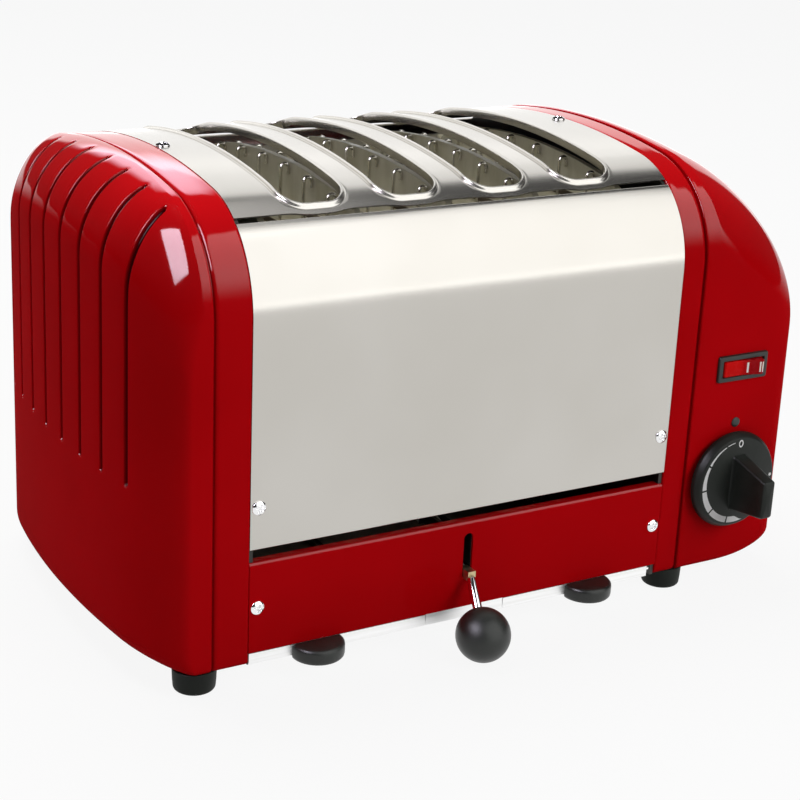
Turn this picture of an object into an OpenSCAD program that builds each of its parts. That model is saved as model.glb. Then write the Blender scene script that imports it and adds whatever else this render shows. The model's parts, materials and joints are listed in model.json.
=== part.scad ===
// Four-slot lever toaster: two enamelled end castings hold a bright steel body between them.
// The lever at the front lowers and raises the bread rack inside.

/* [Body] */
// Overall length over the two end castings
body_len = 357; // [345:1:390]
// Depth between the front and rear faces
body_depth = 209; // [203:1:225]
// Height of the steel crown above the table
body_height = 220.5; // [214:0.5:235]
// Radius of the front and rear shoulders
shoulder_r = 48; // [42:1:54]
// Radius of the shallow crown between the shoulders
crown_r = 392; // [340:1:700]
// Length of the steel between the castings
steel_len = 223; // [216:1:230]
// Place of the steel's middle, measured from the middle of the body
steel_x = -16; // [-20:1:-10]
// Thickness of the steel sheet
sheet_t = 1.2; // [0.8:0.1:1.5]
// Height of the castings' underside above the table
base_z = 10.5; // [9:0.5:11]

/* [End castings] */
// Width of the plain band between the steel and the left dome
left_band = 16.4; // [12:0.1:20]
// Width of the plain band between the steel and the right dome
right_band = 12.9; // [10:0.1:18]
// How far the domes stand proud of the bands
dome_proud = 0.3; // [0.1:0.1:1]
// Width of the groove between a band and its dome
neck_w = 1; // [0.6:0.1:1.6]
// Depth of the groove between a band and its dome
neck_depth = 1; // [0.5:0.1:1.5]
// Wall of the casting
casting_wall = 3; // [2.5:0.1:4]
// How far the left end face falls back at its front and rear edges
left_bow = 11.5; // [6:0.5:14]
// How far the right end face falls back at its front and rear edges
right_bow = 2; // [1:0.5:10]
// Draft of the end faces in degrees
end_draft = 0.6; // [0.2:0.1:1.5]
// Height of the left dome's top curve
left_curve = 36; // [30:1:50]
// Height of the right dome's top curve
right_curve = 58; // [45:1:70]
// Fullness of the left dome's top curve, where 2 is an ellipse
left_full = 1.95; // [1.5:0.05:2.4]
// Fullness of the right dome's top curve
right_full = 1.5; // [1.3:0.05:2.4]
// How closely the top curve follows the outline of the body
curve_follow = 0.94; // [0.8:0.01:0.98]
// Rounding of the left upright corners, across the end
left_roll = 40; // [25:1:50]
// Rounding of the right upright corners, across the end
right_roll = 21; // [15:1:40]
// Rounding of the left upright corners, along the body
left_roll_depth = 12.5; // [8:0.5:14]
// Rounding of the right upright corners, along the body
right_roll_depth = 14.5; // [8:0.5:24]
// Height of the rounding along the bottom edge
bottom_roll = 11; // [8:0.5:13]
// Length of the left bottom rounding, along the body
left_bottom = 10.5; // [6:0.5:14]
// Length of the right bottom rounding, along the body
right_bottom = 52; // [20:1:54]
// Number of vent grooves on an end
groove_count = 8; // [4:1:8]
// Distance between vent grooves
groove_pitch = 21; // [17:0.5:21]
// Width of a vent groove
groove_w = 2.4; // [1.5:0.1:3]
// Depth of a vent groove
groove_depth = 1.5; // [1:0.1:2]
// Height of the grooves' lower ends
groove_z = 91; // [70:0.5:120]
// Distance of the grooves' upper ends beyond the left band
groove_left = 9; // [6:0.5:14]
// Distance of the grooves' upper ends beyond the right band
groove_right = 34; // [20:1:40]

/* [Steel panels] */
// Height of the front panel's lower edge
panel_z = 65.5; // [64:0.5:72]
// Angle on the shoulder where the panels end
panel_angle = 50.5; // [40:0.5:51]
// Angle on the shoulder where the top plate begins
plate_angle = 54; // [53:0.5:56]

/* [Toast slots] */
// Number of slots
slot_count = 4; // [2:1:4]
// Distance between slots
slot_pitch = 46.5; // [45:0.5:47]
// Place of the slots' middle, measured from the steel's middle
slot_x = -1.5; // [-3:0.5:3]
// Clear width of a slot
slot_w = 28; // [24:0.5:29]
// Clear length of a slot
slot_len = 160; // [140:1:162]
// Corner radius of a slot
slot_corner = 9; // [6:0.5:11]
// Width of the raised rim
rim_w = 2.4; // [1.5:0.1:3]
// Height of the raised rim above the plate
rim_h = 1.8; // [1:0.1:3]

/* [Base rails] */
// Height of a rail's lower edge
rail_z = 16.5; // [16.5:0.5:18]
// Height of a rail
rail_h = 43; // [41:0.5:46]
// Depth of the flange along a rail's top edge
rail_flange = 5; // [4:0.5:12]
// Width of the lever slot
lever_slot_w = 5; // [4.6:0.1:7]
// Lower end of the lever slot
lever_slot_z = 30.6; // [30:0.1:30.8]
// Height of the lever slot
lever_slot_h = 23; // [22.5:0.5:26]

/* [Lever] */
// Radius of the ball grip
ball_r = 12.8; // [11:0.1:13]
// Distance of the ball's centre in front of the front face
ball_out = 23.3; // [20:0.1:27]
// Height of the ball's centre above the table
ball_z = 13.2; // [13.2:0.1:16]
// Sideways bend of the rod at the ball
ball_side = -4.3; // [-6:0.1:0]
// Radius of the lever rod
rod_r = 2.2; // [1.8:0.1:2.5]
// Thickness of the lever arm
arm_t = 3; // [2:0.1:3.4]
// Width of the lever arm
arm_w = 8; // [7:0.5:9]
// Distance of the pivot behind the front face
pivot_in = 30.5; // [28:0.5:33]
// Height of the pivot
pivot_z = 43; // [42:0.5:44]
// Radius of the pivot pin
pivot_r = 3; // [2:0.1:3.5]
// Angle of the inner arm above level with the lever down
arm_angle = 16; // [14:0.5:17]
// Angle that the lever lifts through
lever_swing = 29; // [26:0.5:30]

/* [Bread rack] */
// Radius of the guide posts
post_r = 4; // [3:0.1:5]
// Width of the crossbar
crossbar_w = 12; // [11:0.5:16]
// Height of the crossbar
crossbar_h = 6; // [4:0.5:8]
// Width of a bread support
support_w = 14; // [10:0.5:18]
// Length of a bread support
support_len = 150; // [120:1:160]
// Height of the bread supports above the crossbar
support_rise = 35; // [30:1:40]

/* [Heating elements] */
// Thickness of an element card
card_t = 3; // [2:0.1:4]
// Clear space above the cards under the crown
card_drop = 9; // [8:0.5:12]
// Radius of a guard wire
wire_r = 0.8; // [0.6:0.1:1]
// Guard wires on a side
wire_count = 6; // [4:1:7]
// Distance between guard wires
wire_pitch = 23.3; // [18:0.1:24]
// Distance of a guard wire behind the slot's edge
wire_back = 3; // [2.5:0.1:3.4]
// Depth of the wire hooks below the crown
hook_drop = 8.6; // [7:0.1:12]
// Width of the heating ribbon
ribbon_w = 3; // [2:0.1:4]
// Number of passes of the heating ribbon
ribbon_passes = 9; // [5:2:11]

/* [Timer] */
// Distance of the knob's centre from the right end of the body
knob_x = 42.5; // [41.5:0.5:47.5]
// Height of the knob's centre
knob_z = 57; // [50:0.5:60]
// Radius of the knob's skirt
knob_r = 25.5; // [22:0.5:26]
// Height of the knob's skirt
skirt_h = 7; // [5:0.5:9]
// How far the grip stands out of the skirt
grip_h = 22.5; // [15:0.5:24]
// Thickness of the grip
grip_w = 8; // [6:0.5:10]
// Length of the grip at its root
grip_root = 28; // [24:1:40]
// Length of the grip at its outer edge
grip_tip = 17; // [12:1:24]
// Radius of the timer shaft
shaft_r = 3; // [2.5:0.1:4]
// Radius of the index dot
index_r = 2.5; // [1.5:0.1:3]
// Height of the index dot above the knob's centre
index_up = 28.9; // [28.2:0.1:32]

/* [Switch] */
// Distance of the switch's centre from the right end of the body
switch_x = 41; // [40.5:0.5:45.5]
// Height of the switch's centre
switch_z = 115; // [105:1:140]
// Width of the switch bezel
bezel_w = 30.5; // [29:0.5:31]
// Height of the switch bezel
bezel_h = 13.5; // [12.5:0.5:16]
// How far the rocker tips over
rocker_swing = 14; // [10:1:16]

/* [Crumb trays] */
// Height of the trays' underside above the table
tray_z = 11; // [10.6:0.1:11.2]
// Height of the tray fronts
tray_front_h = 5.2; // [4.6:0.1:5.2]
// Half the width of the fixed strip between the trays
strip_half = 21; // [20:0.5:24]
// How far the right tray's front ends short of the casting
right_front_short = 5; // [0.3:0.1:8]
// Radius of a half-round tray pull
pull_r = 12.5; // [10:0.5:15]
// Height of a tray pull
pull_h = 6.2; // [5:0.2:8]
// Distance of the left pull from the steel's left edge
pull_left = 34; // [30:0.5:60]
// Distance of the right pull from the steel's right edge
pull_right = 42; // [30:0.5:60]

/* [Feet and screws] */
// Radius of a foot
foot_r = 10; // [8:0.5:11]
// Distance of the feet from the front and rear faces
foot_in = 10.5; // [10.5:0.5:14]
// Distance of the feet outside the left edge of the steel
foot_left = 21; // [18:0.5:24]
// Distance of the feet outside the right edge of the steel
foot_right = 13; // [12:0.5:20]
// Radius of a screw head
screw_head_r = 3.3; // [2.5:0.1:3.6]
// Height of a screw head
screw_head_h = 1.6; // [1:0.1:2.2]
// Radius of a screw shank
screw_r = 1.5; // [1:0.1:1.8]
// Distance of the screws from the steel's edges
screw_in = 4; // [4:0.5:7]
// Height of the panel screws
panel_screw_z = 85; // [80:1:100]
// Height of the rail screws
rail_screw_z = 38; // [34:0.5:46]
// Radius of the cord gland
gland_r = 9; // [7:0.5:11]
// How far the cord gland stands out at the rear
gland_out = 8; // [5:0.5:12]

/* [Hidden] */
$fn = 48;

// Clearances
running_gap = 0.05;
slip_gap = 0.35;
free_gap = 0.6;
past = 1;

// Profile of the body, seen from the side: upright faces, two shoulders and a crown
half_depth = body_depth / 2;
shoulder_y = half_depth - shoulder_r;
crown_z = body_height - crown_r;
shoulder_z = crown_z + sqrt(pow(crown_r - shoulder_r, 2) - pow(shoulder_y, 2));
crown_half_angle = asin(shoulder_y / (crown_r - shoulder_r));
shoulder_turn = 90 - crown_half_angle;
shoulder_steps = 10;
crown_steps = 12;

// The steel and what it carries
steel_left = steel_x - steel_len / 2;
steel_right = steel_x + steel_len / 2;
chassis_t = 2;
flange_w = 14;
flange_t = 1.5;
chassis_left = steel_left + chassis_t;
chassis_right = steel_right - chassis_t;
front_in = half_depth - sheet_t;

// Castings
half_len = body_len / 2;
face_ref_z = base_z + bottom_roll;
face_mid_z = (base_z + body_height) / 2;
low_steps = [0, 1.5, 4, 8, 13];
high_steps = [58, 38, 24, 13, 6, 2, 0];
outer_steps = [0, 0.014, 0.045, 0.095, 0.16, 0.25, 0.38, 0.58, 0.8];
inner_steps = [0, 0.05, 0.15, 0.32, 0.6];
base_rows = 10;
groove_steps = 12;
dome_lip = 0.8;
dome_face = half_depth + dome_proud;
casting_in = dome_face - casting_wall;

// Form of an end: inner edge, band, bow, top curve, fullness, roll, its depth, bottom length, groove start
left_form = [-steel_left, left_band, left_bow, left_curve, left_full, left_roll, left_roll_depth,
    left_bottom, groove_left];
right_form = [steel_right, right_band, right_bow, right_curve, right_full, right_roll, right_roll_depth,
    right_bottom, groove_right];

// Slots, cards and guards
slot_first = steel_x + slot_x - (slot_count - 1) / 2 * slot_pitch;
card_first = slot_first - slot_pitch / 2;
baffle_t = 1.5;
baffle_in = slot_len / 2 + 4.5;
baffle_z = 76;
baffle_top = 198;
wire_off = slot_w / 2 + wire_back;
hook_tube = wire_r + 0.05;
hook_lap = 0.3;
hook_leg = 3;
hook_r = (slot_pitch / 2 - wire_off - card_t / 2 - hook_tube - running_gap) / 2;
guard_bar = 3;
ribbon_t = 0.4;
ribbon_edge = 9;

// Lever and rack
lever_x = steel_x;
pivot_y = pivot_in - half_depth;
roller_r = arm_w / 2 + 2;
arm_len = (-pivot_y - 4) / cos(arm_angle);
arm_end_y = pivot_y + arm_len * cos(arm_angle);
arm_end_z = pivot_z + arm_len * sin(arm_angle);
roller_gap = 0.4;
crossbar_z = arm_end_z + roller_r + roller_gap;
crossbar_top = crossbar_z + crossbar_h;
rack_drop = arm_len * (sin(arm_angle) - sin(arm_angle - lever_swing));
socket_w = lever_slot_w - 1;
socket_h = 4.8;
socket_front = half_depth + 4.5;
socket_back = half_depth - 3.5;
socket_z = lever_slot_z + free_gap + socket_h / 2;
rod_start = [lever_x, -(half_depth + 4), socket_z - 1];
ball_pos = [lever_x + ball_side, -(half_depth + ball_out), ball_z];
cheek_t = 2;
cheek_gap = 0.75;
cheek_in = arm_t / 2 + cheek_gap;
bracket_half = 9;
bracket_foot = 10;
bracket_reach = pivot_in + 7;
post_in = 8;
post_left = chassis_left + post_in;
post_right = chassis_right - post_in;
eye_r = post_r + 2.4;
tab_t = 2;
tab_low_z = 20;
tab_high_z = crossbar_top + 5;
card_z = tab_high_z + tab_t + 2.5;
support_t = 3;
support_top = crossbar_top + support_rise;

// Controls
knob_pos_x = half_len - knob_x;
switch_pos_x = half_len - switch_x;
knob_gap = 2;
index_side = 1.5;
timer_size = 31;
timer_deep = 30;
body_cut = 3;
housing_w = bezel_w - body_cut;
housing_h = bezel_h - body_cut;
bezel_t = 1.6;
housing_deep = 24;
housing_wall = 1;
rocker_play = 2.8;
rocker_w = housing_w - 2 * housing_wall - rocker_play;
rocker_h = housing_h - 2 * housing_wall - 2 * slip_gap;
rocker_pin_r = 1.4;
rocker_pivot = half_depth - 4;
terminal_w = 16;
terminal_deep = 40;
terminal_h = 20;
terminal_in = 90;
terminal_z = 40;

// Crumb trays and runners
tray_t = 1;
tray_wall_h = 4;
tray_flange_w = 7.5;
runner_t = 1;
runner_leg = 7.8;
flange_z = tray_z + tray_wall_h - tray_t;
runner_low = flange_z - slip_gap - runner_t;
runner_high = flange_z + tray_t + slip_gap;
strip_left = lever_x - strip_half;
strip_right = lever_x + strip_half;
tray_short = 7.5;
tray_back = half_depth - tray_short;
front_lap_y = half_depth - sheet_t / 2;
tray_front_gap = 0.3;

// The whole stands with the middle of its outline over the origin
body_y = (half_depth + ball_out + ball_r - half_depth - gland_out) / 2;

function mix(a, b, t) = a + (b - a) * t;

// Upper part of the profile at an inset, from the foot of the front shoulder to the rear one
function shoulder_arc(inset, side) =
    [for (i = [0 : shoulder_steps])
        let (turn = shoulder_turn * i / shoulder_steps)
        [side * (shoulder_y + (shoulder_r - inset) * cos(turn)),
            shoulder_z + (shoulder_r - inset) * sin(turn)]];

function crown_arc(inset) =
    [for (i = [1 : crown_steps - 1])
        let (turn = 90 + crown_half_angle * (1 - 2 * i / crown_steps))
        [(crown_r - inset) * cos(turn), crown_z + (crown_r - inset) * sin(turn)]];

function reversed(list) = [for (i = [len(list) - 1 : -1 : 0]) list[i]];

function profile_points(inset, bottom) = concat(
    [[inset - half_depth, bottom]],
    shoulder_arc(inset, -1),
    crown_arc(inset),
    reversed(shoulder_arc(inset, 1)),
    [[half_depth - inset, bottom]]);

// Height of the profile over a place between front and rear
function crown_height(y, inset) =
    abs(y) <= (crown_r - inset) * sin(crown_half_angle)
    ? crown_z + sqrt(pow(crown_r - inset, 2) - y * y)
    : shoulder_z + sqrt(max(0, pow(shoulder_r - inset, 2) - pow(abs(y) - shoulder_y, 2)));

// Outline of a dome seen from its end: up the front, over the top, down the rear and back along the base
function side_rows(inset, side) =
    [for (z = concat([for (d = low_steps) base_z + inset + d], [for (d = high_steps) shoulder_z - d]))
        [side * (dome_face - inset), z]];

function dome_rows(inset) =
    let (grow = inset - dome_proud)
    concat(
        side_rows(inset, -1),
        [for (i = [1 : shoulder_steps]) shoulder_arc(grow, -1)[i]],
        crown_arc(grow),
        [for (i = [shoulder_steps : -1 : 1]) shoulder_arc(grow, 1)[i]],
        reversed(side_rows(inset, 1)),
        [for (i = [1 : base_rows - 1]) [(1 - 2 * i / base_rows) * (dome_face - inset), base_z + inset]]);

function within(v) = min(1, max(0, v));
function roll_drop(u) = 1 - sqrt(1 - u * u);

// Reach of a dome from the middle of the body: a bowed face with draft, a top curve that follows
// the outline, rounded upright corners and a rounded bottom edge
function form_reach(form, y, z, inset) =
    let (grow = dome_proud - inset,
        up = z - shoulder_z,
        out = abs(y) - shoulder_y,
        turn = atan2(up, out),
        on_side = up <= 0,
        on_shoulder = !on_side && out > 0 && turn < shoulder_turn,
        deep = on_side ? half_depth + grow - abs(y)
            : on_shoulder ? shoulder_r + grow - norm([up, out])
            : crown_r + grow - norm([y, z - crown_z]),
        share = on_side ? 1 : on_shoulder ? cos(turn) : abs(y) / crown_r,
        start = form[0] + form[1] + neck_w + dome_lip,
        span = half_len - form[2] - start,
        face = half_len - inset - form[2] * pow(y / half_depth, 2) - (z - face_ref_z) * tan(end_draft),
        top = body_height + grow,
        over = crown_height(min(abs(y), half_depth + grow), -grow),
        climb = z + curve_follow * (top - over) - top + form[3],
        curve = pow(1 - pow(within(climb / form[3]), form[4]), 1 / form[4]),
        corner = 1 - form[6] / span * share * roll_drop(within(1 - deep / form[5])),
        foot = 1 - form[7] / span * roll_drop(within(1 - (z - base_z - inset) / bottom_roll)))
    start + (face - start) * curve * corner * foot;

function skin_faces(m, n) = concat(
    [for (j = [0 : n - 2], i = [0 : m - 1])
        [j * m + i, (j + 1) * m + i, j * m + (i + 1) % m]],
    [for (j = [0 : n - 2], i = [0 : m - 1])
        [j * m + (i + 1) % m, (j + 1) * m + i, (j + 1) * m + (i + 1) % m]],
    [for (i = [0 : m - 1]) [m * n, i, (i + 1) % m]],
    [for (i = [0 : m - 1]) [m * n + 1, (n - 1) * m + (i + 1) % m, (n - 1) * m + i]]);

// Everything is drawn about the body's own middle and then moved over the origin
module placed() {
    translate([0, body_y, 0]) children();
}

// A flat shape in the side view, drawn from one place along the length to another
module along_x(from, to) {
    translate([from, 0, 0]) rotate([90, 0, 90]) linear_extrude(to - from) children();
}

// A flat shape in the front view, drawn from front to rear
module along_y(from, to) {
    translate([0, to, 0]) rotate([90, 0, 0]) linear_extrude(to - from) children();
}

module bar_2d(p, q, w) {
    translate(p) rotate(atan2(q[1] - p[1], q[0] - p[0])) translate([0, -w / 2]) square([norm(q - p), w]);
    translate(p) circle(w / 2);
    translate(q) circle(w / 2);
}

module rod_between(p, q, r) {
    v = q - p;
    translate(p) rotate([0, acos(v[2] / norm(v)), atan2(v[1], v[0])]) cylinder(r = r, h = norm(v));
}

module rounded_slot(w, l, r) {
    square([w - 2 * r, l], center = true);
    square([w, l - 2 * r], center = true);
    for (sx = [-1, 1], sy = [-1, 1])
        translate([sx * (w / 2 - r), sy * (l / 2 - r)]) circle(r);
}

// End castings
module dome_skin(form, inset, start, steps) {
    rows = dome_rows(inset);
    rings = concat(
        [for (row = rows) [-start, row[0], row[1]]],
        [for (s = steps, row = rows)
            let (y = row[0] * (1 - s), z = mix(row[1], face_mid_z, s))
            [-form_reach(form, y, z, inset), y, z]]);
    ends = [[-start, 0, face_mid_z], [-form_reach(form, 0, face_mid_z, inset), 0, face_mid_z]];
    polyhedron(concat(rings, ends), skin_faces(len(rows), 1 + len(steps)));
}

module vent_grooves(form) {
    far = half_len + 5;
    edge = form[0] + form[1];
    for (i = [0 : groove_count - 1]) {
        y = (i - (groove_count - 1) / 2) * groove_pitch;
        top = crown_height(y, groove_depth - dome_proud);
        path = [for (k = [0 : groove_steps])
            let (z = mix(groove_z, top, sin(90 * k / groove_steps)))
            [-form_reach(form, y, z, groove_depth), z]];
        along_y(y - groove_w / 2, y + groove_w / 2) intersection() {
            polygon(concat([[-far, groove_z]], path, [[-edge, top + 5], [-far, top + 5]]));
            translate([-far, 0]) square([far - edge - form[8], 2 * body_height]);
        }
    }
}

// A casting on the left: band, groove and dome over a hollow that is open to the steel and below
module end_casting(form) {
    edge = form[0];
    band_end = edge + form[1];
    dome_start = band_end + neck_w;
    opening_y = half_depth - foot_in - foot_r - 5;
    opening_past = 14;
    opening_len = form[1] + opening_past;
    difference() {
        union() {
            along_x(-band_end, -edge) polygon(profile_points(0, base_z));
            along_x(-(dome_start + dome_lip / 2), -edge - past)
                polygon(profile_points(neck_depth, base_z + neck_depth));
            dome_skin(form, 0, dome_start, outer_steps);
        }
        dome_skin(form, casting_wall, band_end - past, inner_steps);
        along_x(-band_end, -edge + past) polygon(profile_points(casting_wall, base_z + casting_wall));
        translate([-(edge + opening_len), -opening_y, base_z - past])
            cube([opening_len + past, 2 * opening_y, casting_wall + 2 * past]);
        vent_grooves(form);
    }
}

module left_end_casting() color("firebrick") placed() end_casting(left_form);

module right_end_casting() {
    color("firebrick") placed() difference() {
        mirror([1, 0, 0]) end_casting(right_form);
        translate([knob_pos_x, -casting_in + past, knob_z])
            rotate([90, 0, 0]) cylinder(r = shaft_r + 2, h = casting_wall + 2 * past);
        translate([switch_pos_x - housing_w / 2 - slip_gap / 2, -dome_face - past,
            switch_z - housing_h / 2 - slip_gap / 2])
            cube([housing_w + slip_gap, casting_wall + 2 * past, housing_h + slip_gap]);
    }
}

// Steel panels and top plate
module sheet_2d(inset) {
    difference() {
        polygon(profile_points(inset, base_z));
        polygon(profile_points(inset + sheet_t, base_z - past));
    }
}

module screw_hole(x, z, side) {
    translate([x, side * half_depth, z]) rotate([90, 0, 0])
        cylinder(r = screw_r + running_gap, h = 4 * (sheet_t + flange_t), center = true);
}

module side_panel(side) {
    far = 2 * body_depth;
    rise = (far - shoulder_y) * tan(panel_angle);
    difference() {
        along_x(steel_left, steel_right) intersection() {
            sheet_2d(0);
            polygon([[side * shoulder_y, shoulder_z], [side * shoulder_y, panel_z],
                [side * far, panel_z], [side * far, shoulder_z + rise]]);
        }
        for (x = [steel_left + screw_in, steel_right - screw_in])
            screw_hole(x, panel_screw_z, side);
    }
}

module front_panel() color("gainsboro") placed() side_panel(-1);
module rear_panel() color("gainsboro") placed() side_panel(1);

module each_slot() {
    for (i = [0 : slot_count - 1]) translate([slot_first + i * slot_pitch, 0, 0]) children();
}

module slot_prism(grow) {
    translate([0, 0, shoulder_z]) linear_extrude(body_height)
        rounded_slot(slot_w + 2 * grow, slot_len + 2 * grow, slot_corner + grow);
}

module top_plate() {
    far = body_depth;
    run = far * cos(plate_angle);
    color("gainsboro") placed() difference() {
        union() {
            along_x(steel_left, steel_right) intersection() {
                sheet_2d(0);
                polygon([[-shoulder_y, shoulder_z],
                    [-shoulder_y - run, shoulder_z + far * sin(plate_angle)],
                    [shoulder_y + run, shoulder_z + far * sin(plate_angle)],
                    [shoulder_y, shoulder_z]]);
            }
            intersection() {
                each_slot() slot_prism(rim_w);
                along_x(steel_left, steel_right) difference() {
                    polygon(profile_points(-rim_h, base_z));
                    polygon(profile_points(sheet_t, base_z - past));
                }
            }
        }
        each_slot() slot_prism(0);
        for (x = [steel_left + screw_in, steel_right - screw_in])
            translate([x, 0, body_height])
                cylinder(r = screw_r + running_gap, h = 4 * (sheet_t + flange_t), center = true);
    }
}

// Base rails: a painted strip with a flange along its top edge
module base_rail(side) {
    flange_at = side < 0 ? -half_depth : half_depth - rail_flange;
    face_at = side < 0 ? -half_depth : front_in;
    translate([steel_left, face_at, rail_z]) cube([steel_len, sheet_t, rail_h]);
    translate([steel_left + flange_w + free_gap, flange_at, rail_z + rail_h - sheet_t])
        cube([steel_len - 2 * (flange_w + free_gap), rail_flange, sheet_t]);
}

module rail_screw_holes(side) {
    for (x = [steel_left + screw_in, steel_right - screw_in]) screw_hole(x, rail_screw_z, side);
}

module front_base_rail() {
    color("firebrick") placed() difference() {
        base_rail(-1);
        rail_screw_holes(-1);
        translate([lever_x - lever_slot_w / 2, -half_depth - past, lever_slot_z])
            cube([lever_slot_w, sheet_t + 2 * past, lever_slot_h]);
    }
}

gland_in = 36;
gland_x = steel_right - gland_in;

module rear_base_rail() {
    color("firebrick") placed() difference() {
        base_rail(1);
        rail_screw_holes(1);
        translate([gland_x, half_depth + past, rail_screw_z])
            rotate([90, 0, 0]) cylinder(r = gland_r + running_gap, h = sheet_t + 2 * past);
    }
}

module cord_gland() {
    collar = 3;
    bore_r = gland_r - 4.5;
    color("dimgray") placed() translate([gland_x, half_depth, rail_screw_z]) difference() {
        union() {
            rotate([-90, 0, 0]) cylinder(r = gland_r + collar, h = gland_out);
            rotate([90, 0, 0]) cylinder(r = gland_r, h = sheet_t + 6);
        }
        rotate([90, 0, 0]) cylinder(r = bore_r, h = 4 * gland_out, center = true);
    }
}

// Chassis walls: a plate with screw flanges at front, rear and top, and tabs for the guide post
module chassis_wall(side) {
    outer = side < 0 ? steel_left : chassis_right;
    flange_x = side < 0 ? steel_left : steel_right - flange_w;
    tab_w = post_in + post_r + 3;
    tab_x = side < 0 ? chassis_left : chassis_right - tab_w;
    tab_d = 2 * (post_r + 4);
    screw_x = side < 0 ? steel_left + screw_in : steel_right - screw_in;
    crown_flange = 30;
    gap_clear = 2;
    flange_spans = [[rail_z + gap_clear, rail_z + rail_h - gap_clear],
        [panel_z + gap_clear, shoulder_z - 2 * gap_clear]];
    difference() {
        union() {
            along_x(outer, outer + chassis_t) polygon(profile_points(sheet_t, base_z));
            for (face = [-front_in, front_in - flange_t], span = flange_spans)
                translate([flange_x, face, span[0]]) cube([flange_w, flange_t, span[1] - span[0]]);
            along_x(flange_x, flange_x + flange_w) intersection() {
                difference() {
                    polygon(profile_points(sheet_t, base_z));
                    polygon(profile_points(sheet_t + flange_t, base_z - past));
                }
                translate([-crown_flange / 2, shoulder_z]) square([crown_flange, body_height]);
            }
            for (z = [tab_low_z, tab_high_z])
                translate([tab_x, -tab_d / 2, z]) cube([tab_w, tab_d, tab_t]);
        }
        translate([side < 0 ? post_left : post_right, 0, 0])
            cylinder(r = post_r + running_gap, h = body_height / 2);
        for (face = [-1, 1], z = [panel_screw_z, rail_screw_z]) screw_hole(screw_x, z, face);
        translate([screw_x, 0, body_height])
            cylinder(r = screw_r + running_gap, h = 4 * (sheet_t + flange_t), center = true);
    }
}

module left_chassis_wall() color("darkgray") placed() chassis_wall(-1);
module right_chassis_wall() color("darkgray") placed() chassis_wall(1);

module guide_posts() {
    color("silver") placed() for (x = [post_left, post_right])
        translate([x, 0, tab_low_z]) cylinder(r = post_r, h = tab_high_z + tab_t - tab_low_z);
}

module baffle(side) {
    at = side < 0 ? -baffle_in - baffle_t : baffle_in;
    translate([chassis_left, at, baffle_z])
        cube([chassis_right - chassis_left, baffle_t, baffle_top - baffle_z]);
}

module front_baffle() color("darkkhaki") placed() baffle(-1);
module rear_baffle() color("darkkhaki") placed() baffle(1);

// Feet and screws
module foot(x, side) {
    y = side * (half_depth - foot_in);
    color("black") placed() translate([x, y, 0]) cylinder(r = foot_r, h = base_z);
}

module foot_front_left() foot(steel_left - foot_left, -1);
module foot_front_right() foot(steel_right + foot_right, -1);
module foot_rear_left() foot(steel_left - foot_left, 1);
module foot_rear_right() foot(steel_right + foot_right, 1);

// A pan-head screw with a cross recess, whose head stands on the plane z = 0
module screw() {
    recess = screw_head_h / 2;
    difference() {
        union() {
            cylinder(r = screw_head_r, h = screw_head_h);
            translate([0, 0, -sheet_t - flange_t - 1]) cylinder(r = screw_r, h = sheet_t + flange_t + 1);
        }
        for (turn = [0, 90]) rotate(turn)
            translate([-screw_head_r * 0.6, -0.4, recess]) cube([screw_head_r * 1.2, 0.8, screw_head_h]);
    }
}

module panel_screws() {
    color("silver") placed()
        for (x = [steel_left + screw_in, steel_right - screw_in], z = [panel_screw_z, rail_screw_z]) {
            translate([x, -half_depth, z]) rotate([90, 0, 0]) screw();
            translate([x, half_depth, z]) rotate([-90, 0, 0]) screw();
        }
}

module top_screws() {
    color("silver") placed()
        for (x = [steel_left + screw_in, steel_right - screw_in])
            translate([x, 0, body_height]) screw();
}

// Heating elements
module card_2d(inset) {
    intersection() {
        polygon(profile_points(card_drop + inset, card_z));
        translate([-baffle_in + inset, card_z + inset])
            square([2 * (baffle_in - inset), body_height]);
    }
}

function card_x(j) = card_first + j * slot_pitch;

module element_card(j) {
    color("darkkhaki") placed()
        along_x(card_x(j) - card_t / 2, card_x(j) + card_t / 2) card_2d(0);
}

// A flat ribbon laid to and fro over one face of a card
module ribbon_2d() {
    top = crown_height(baffle_in - ribbon_edge, card_drop) - ribbon_edge;
    low = card_z + ribbon_edge;
    step = (top - low - ribbon_w) / (ribbon_passes - 1);
    half = baffle_in - ribbon_edge;
    for (i = [0 : ribbon_passes - 1])
        translate([-half, low + i * step]) square([2 * half, ribbon_w]);
    for (i = [0 : ribbon_passes - 2])
        translate([i % 2 == 0 ? half - ribbon_w : -half, low + i * step])
            square([ribbon_w, step + ribbon_w]);
}

module element_ribbon(j) {
    color("sienna") placed() for (side = [-1, 1])
        if (card_faces_slot(j, side))
            along_x(card_x(j) + side * card_t / 2 - (side < 0 ? ribbon_t : 0),
                card_x(j) + side * card_t / 2 + (side < 0 ? 0 : ribbon_t)) ribbon_2d();
}

// The outer cards face a slot on one side only
function card_faces_slot(j, side) = side < 0 ? j > 0 : j < slot_count;

// A guard: upright wires on a bar, each hooked over towards the card
module guard_wire(y) {
    top = crown_height(y, 0) - hook_drop - hook_tube - hook_r;
    foot_at = card_z + guard_bar / 2;
    translate([0, y, foot_at]) cylinder(r = wire_r, h = top + hook_lap - foot_at);
    translate([-hook_r, y, top]) rotate([90, 0, 0])
        rotate_extrude(angle = 180) translate([hook_r, 0]) circle(hook_tube, $fn = 16);
    translate([-2 * hook_r, y, top - hook_leg]) cylinder(r = wire_r, h = hook_leg + hook_lap);
}

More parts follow.
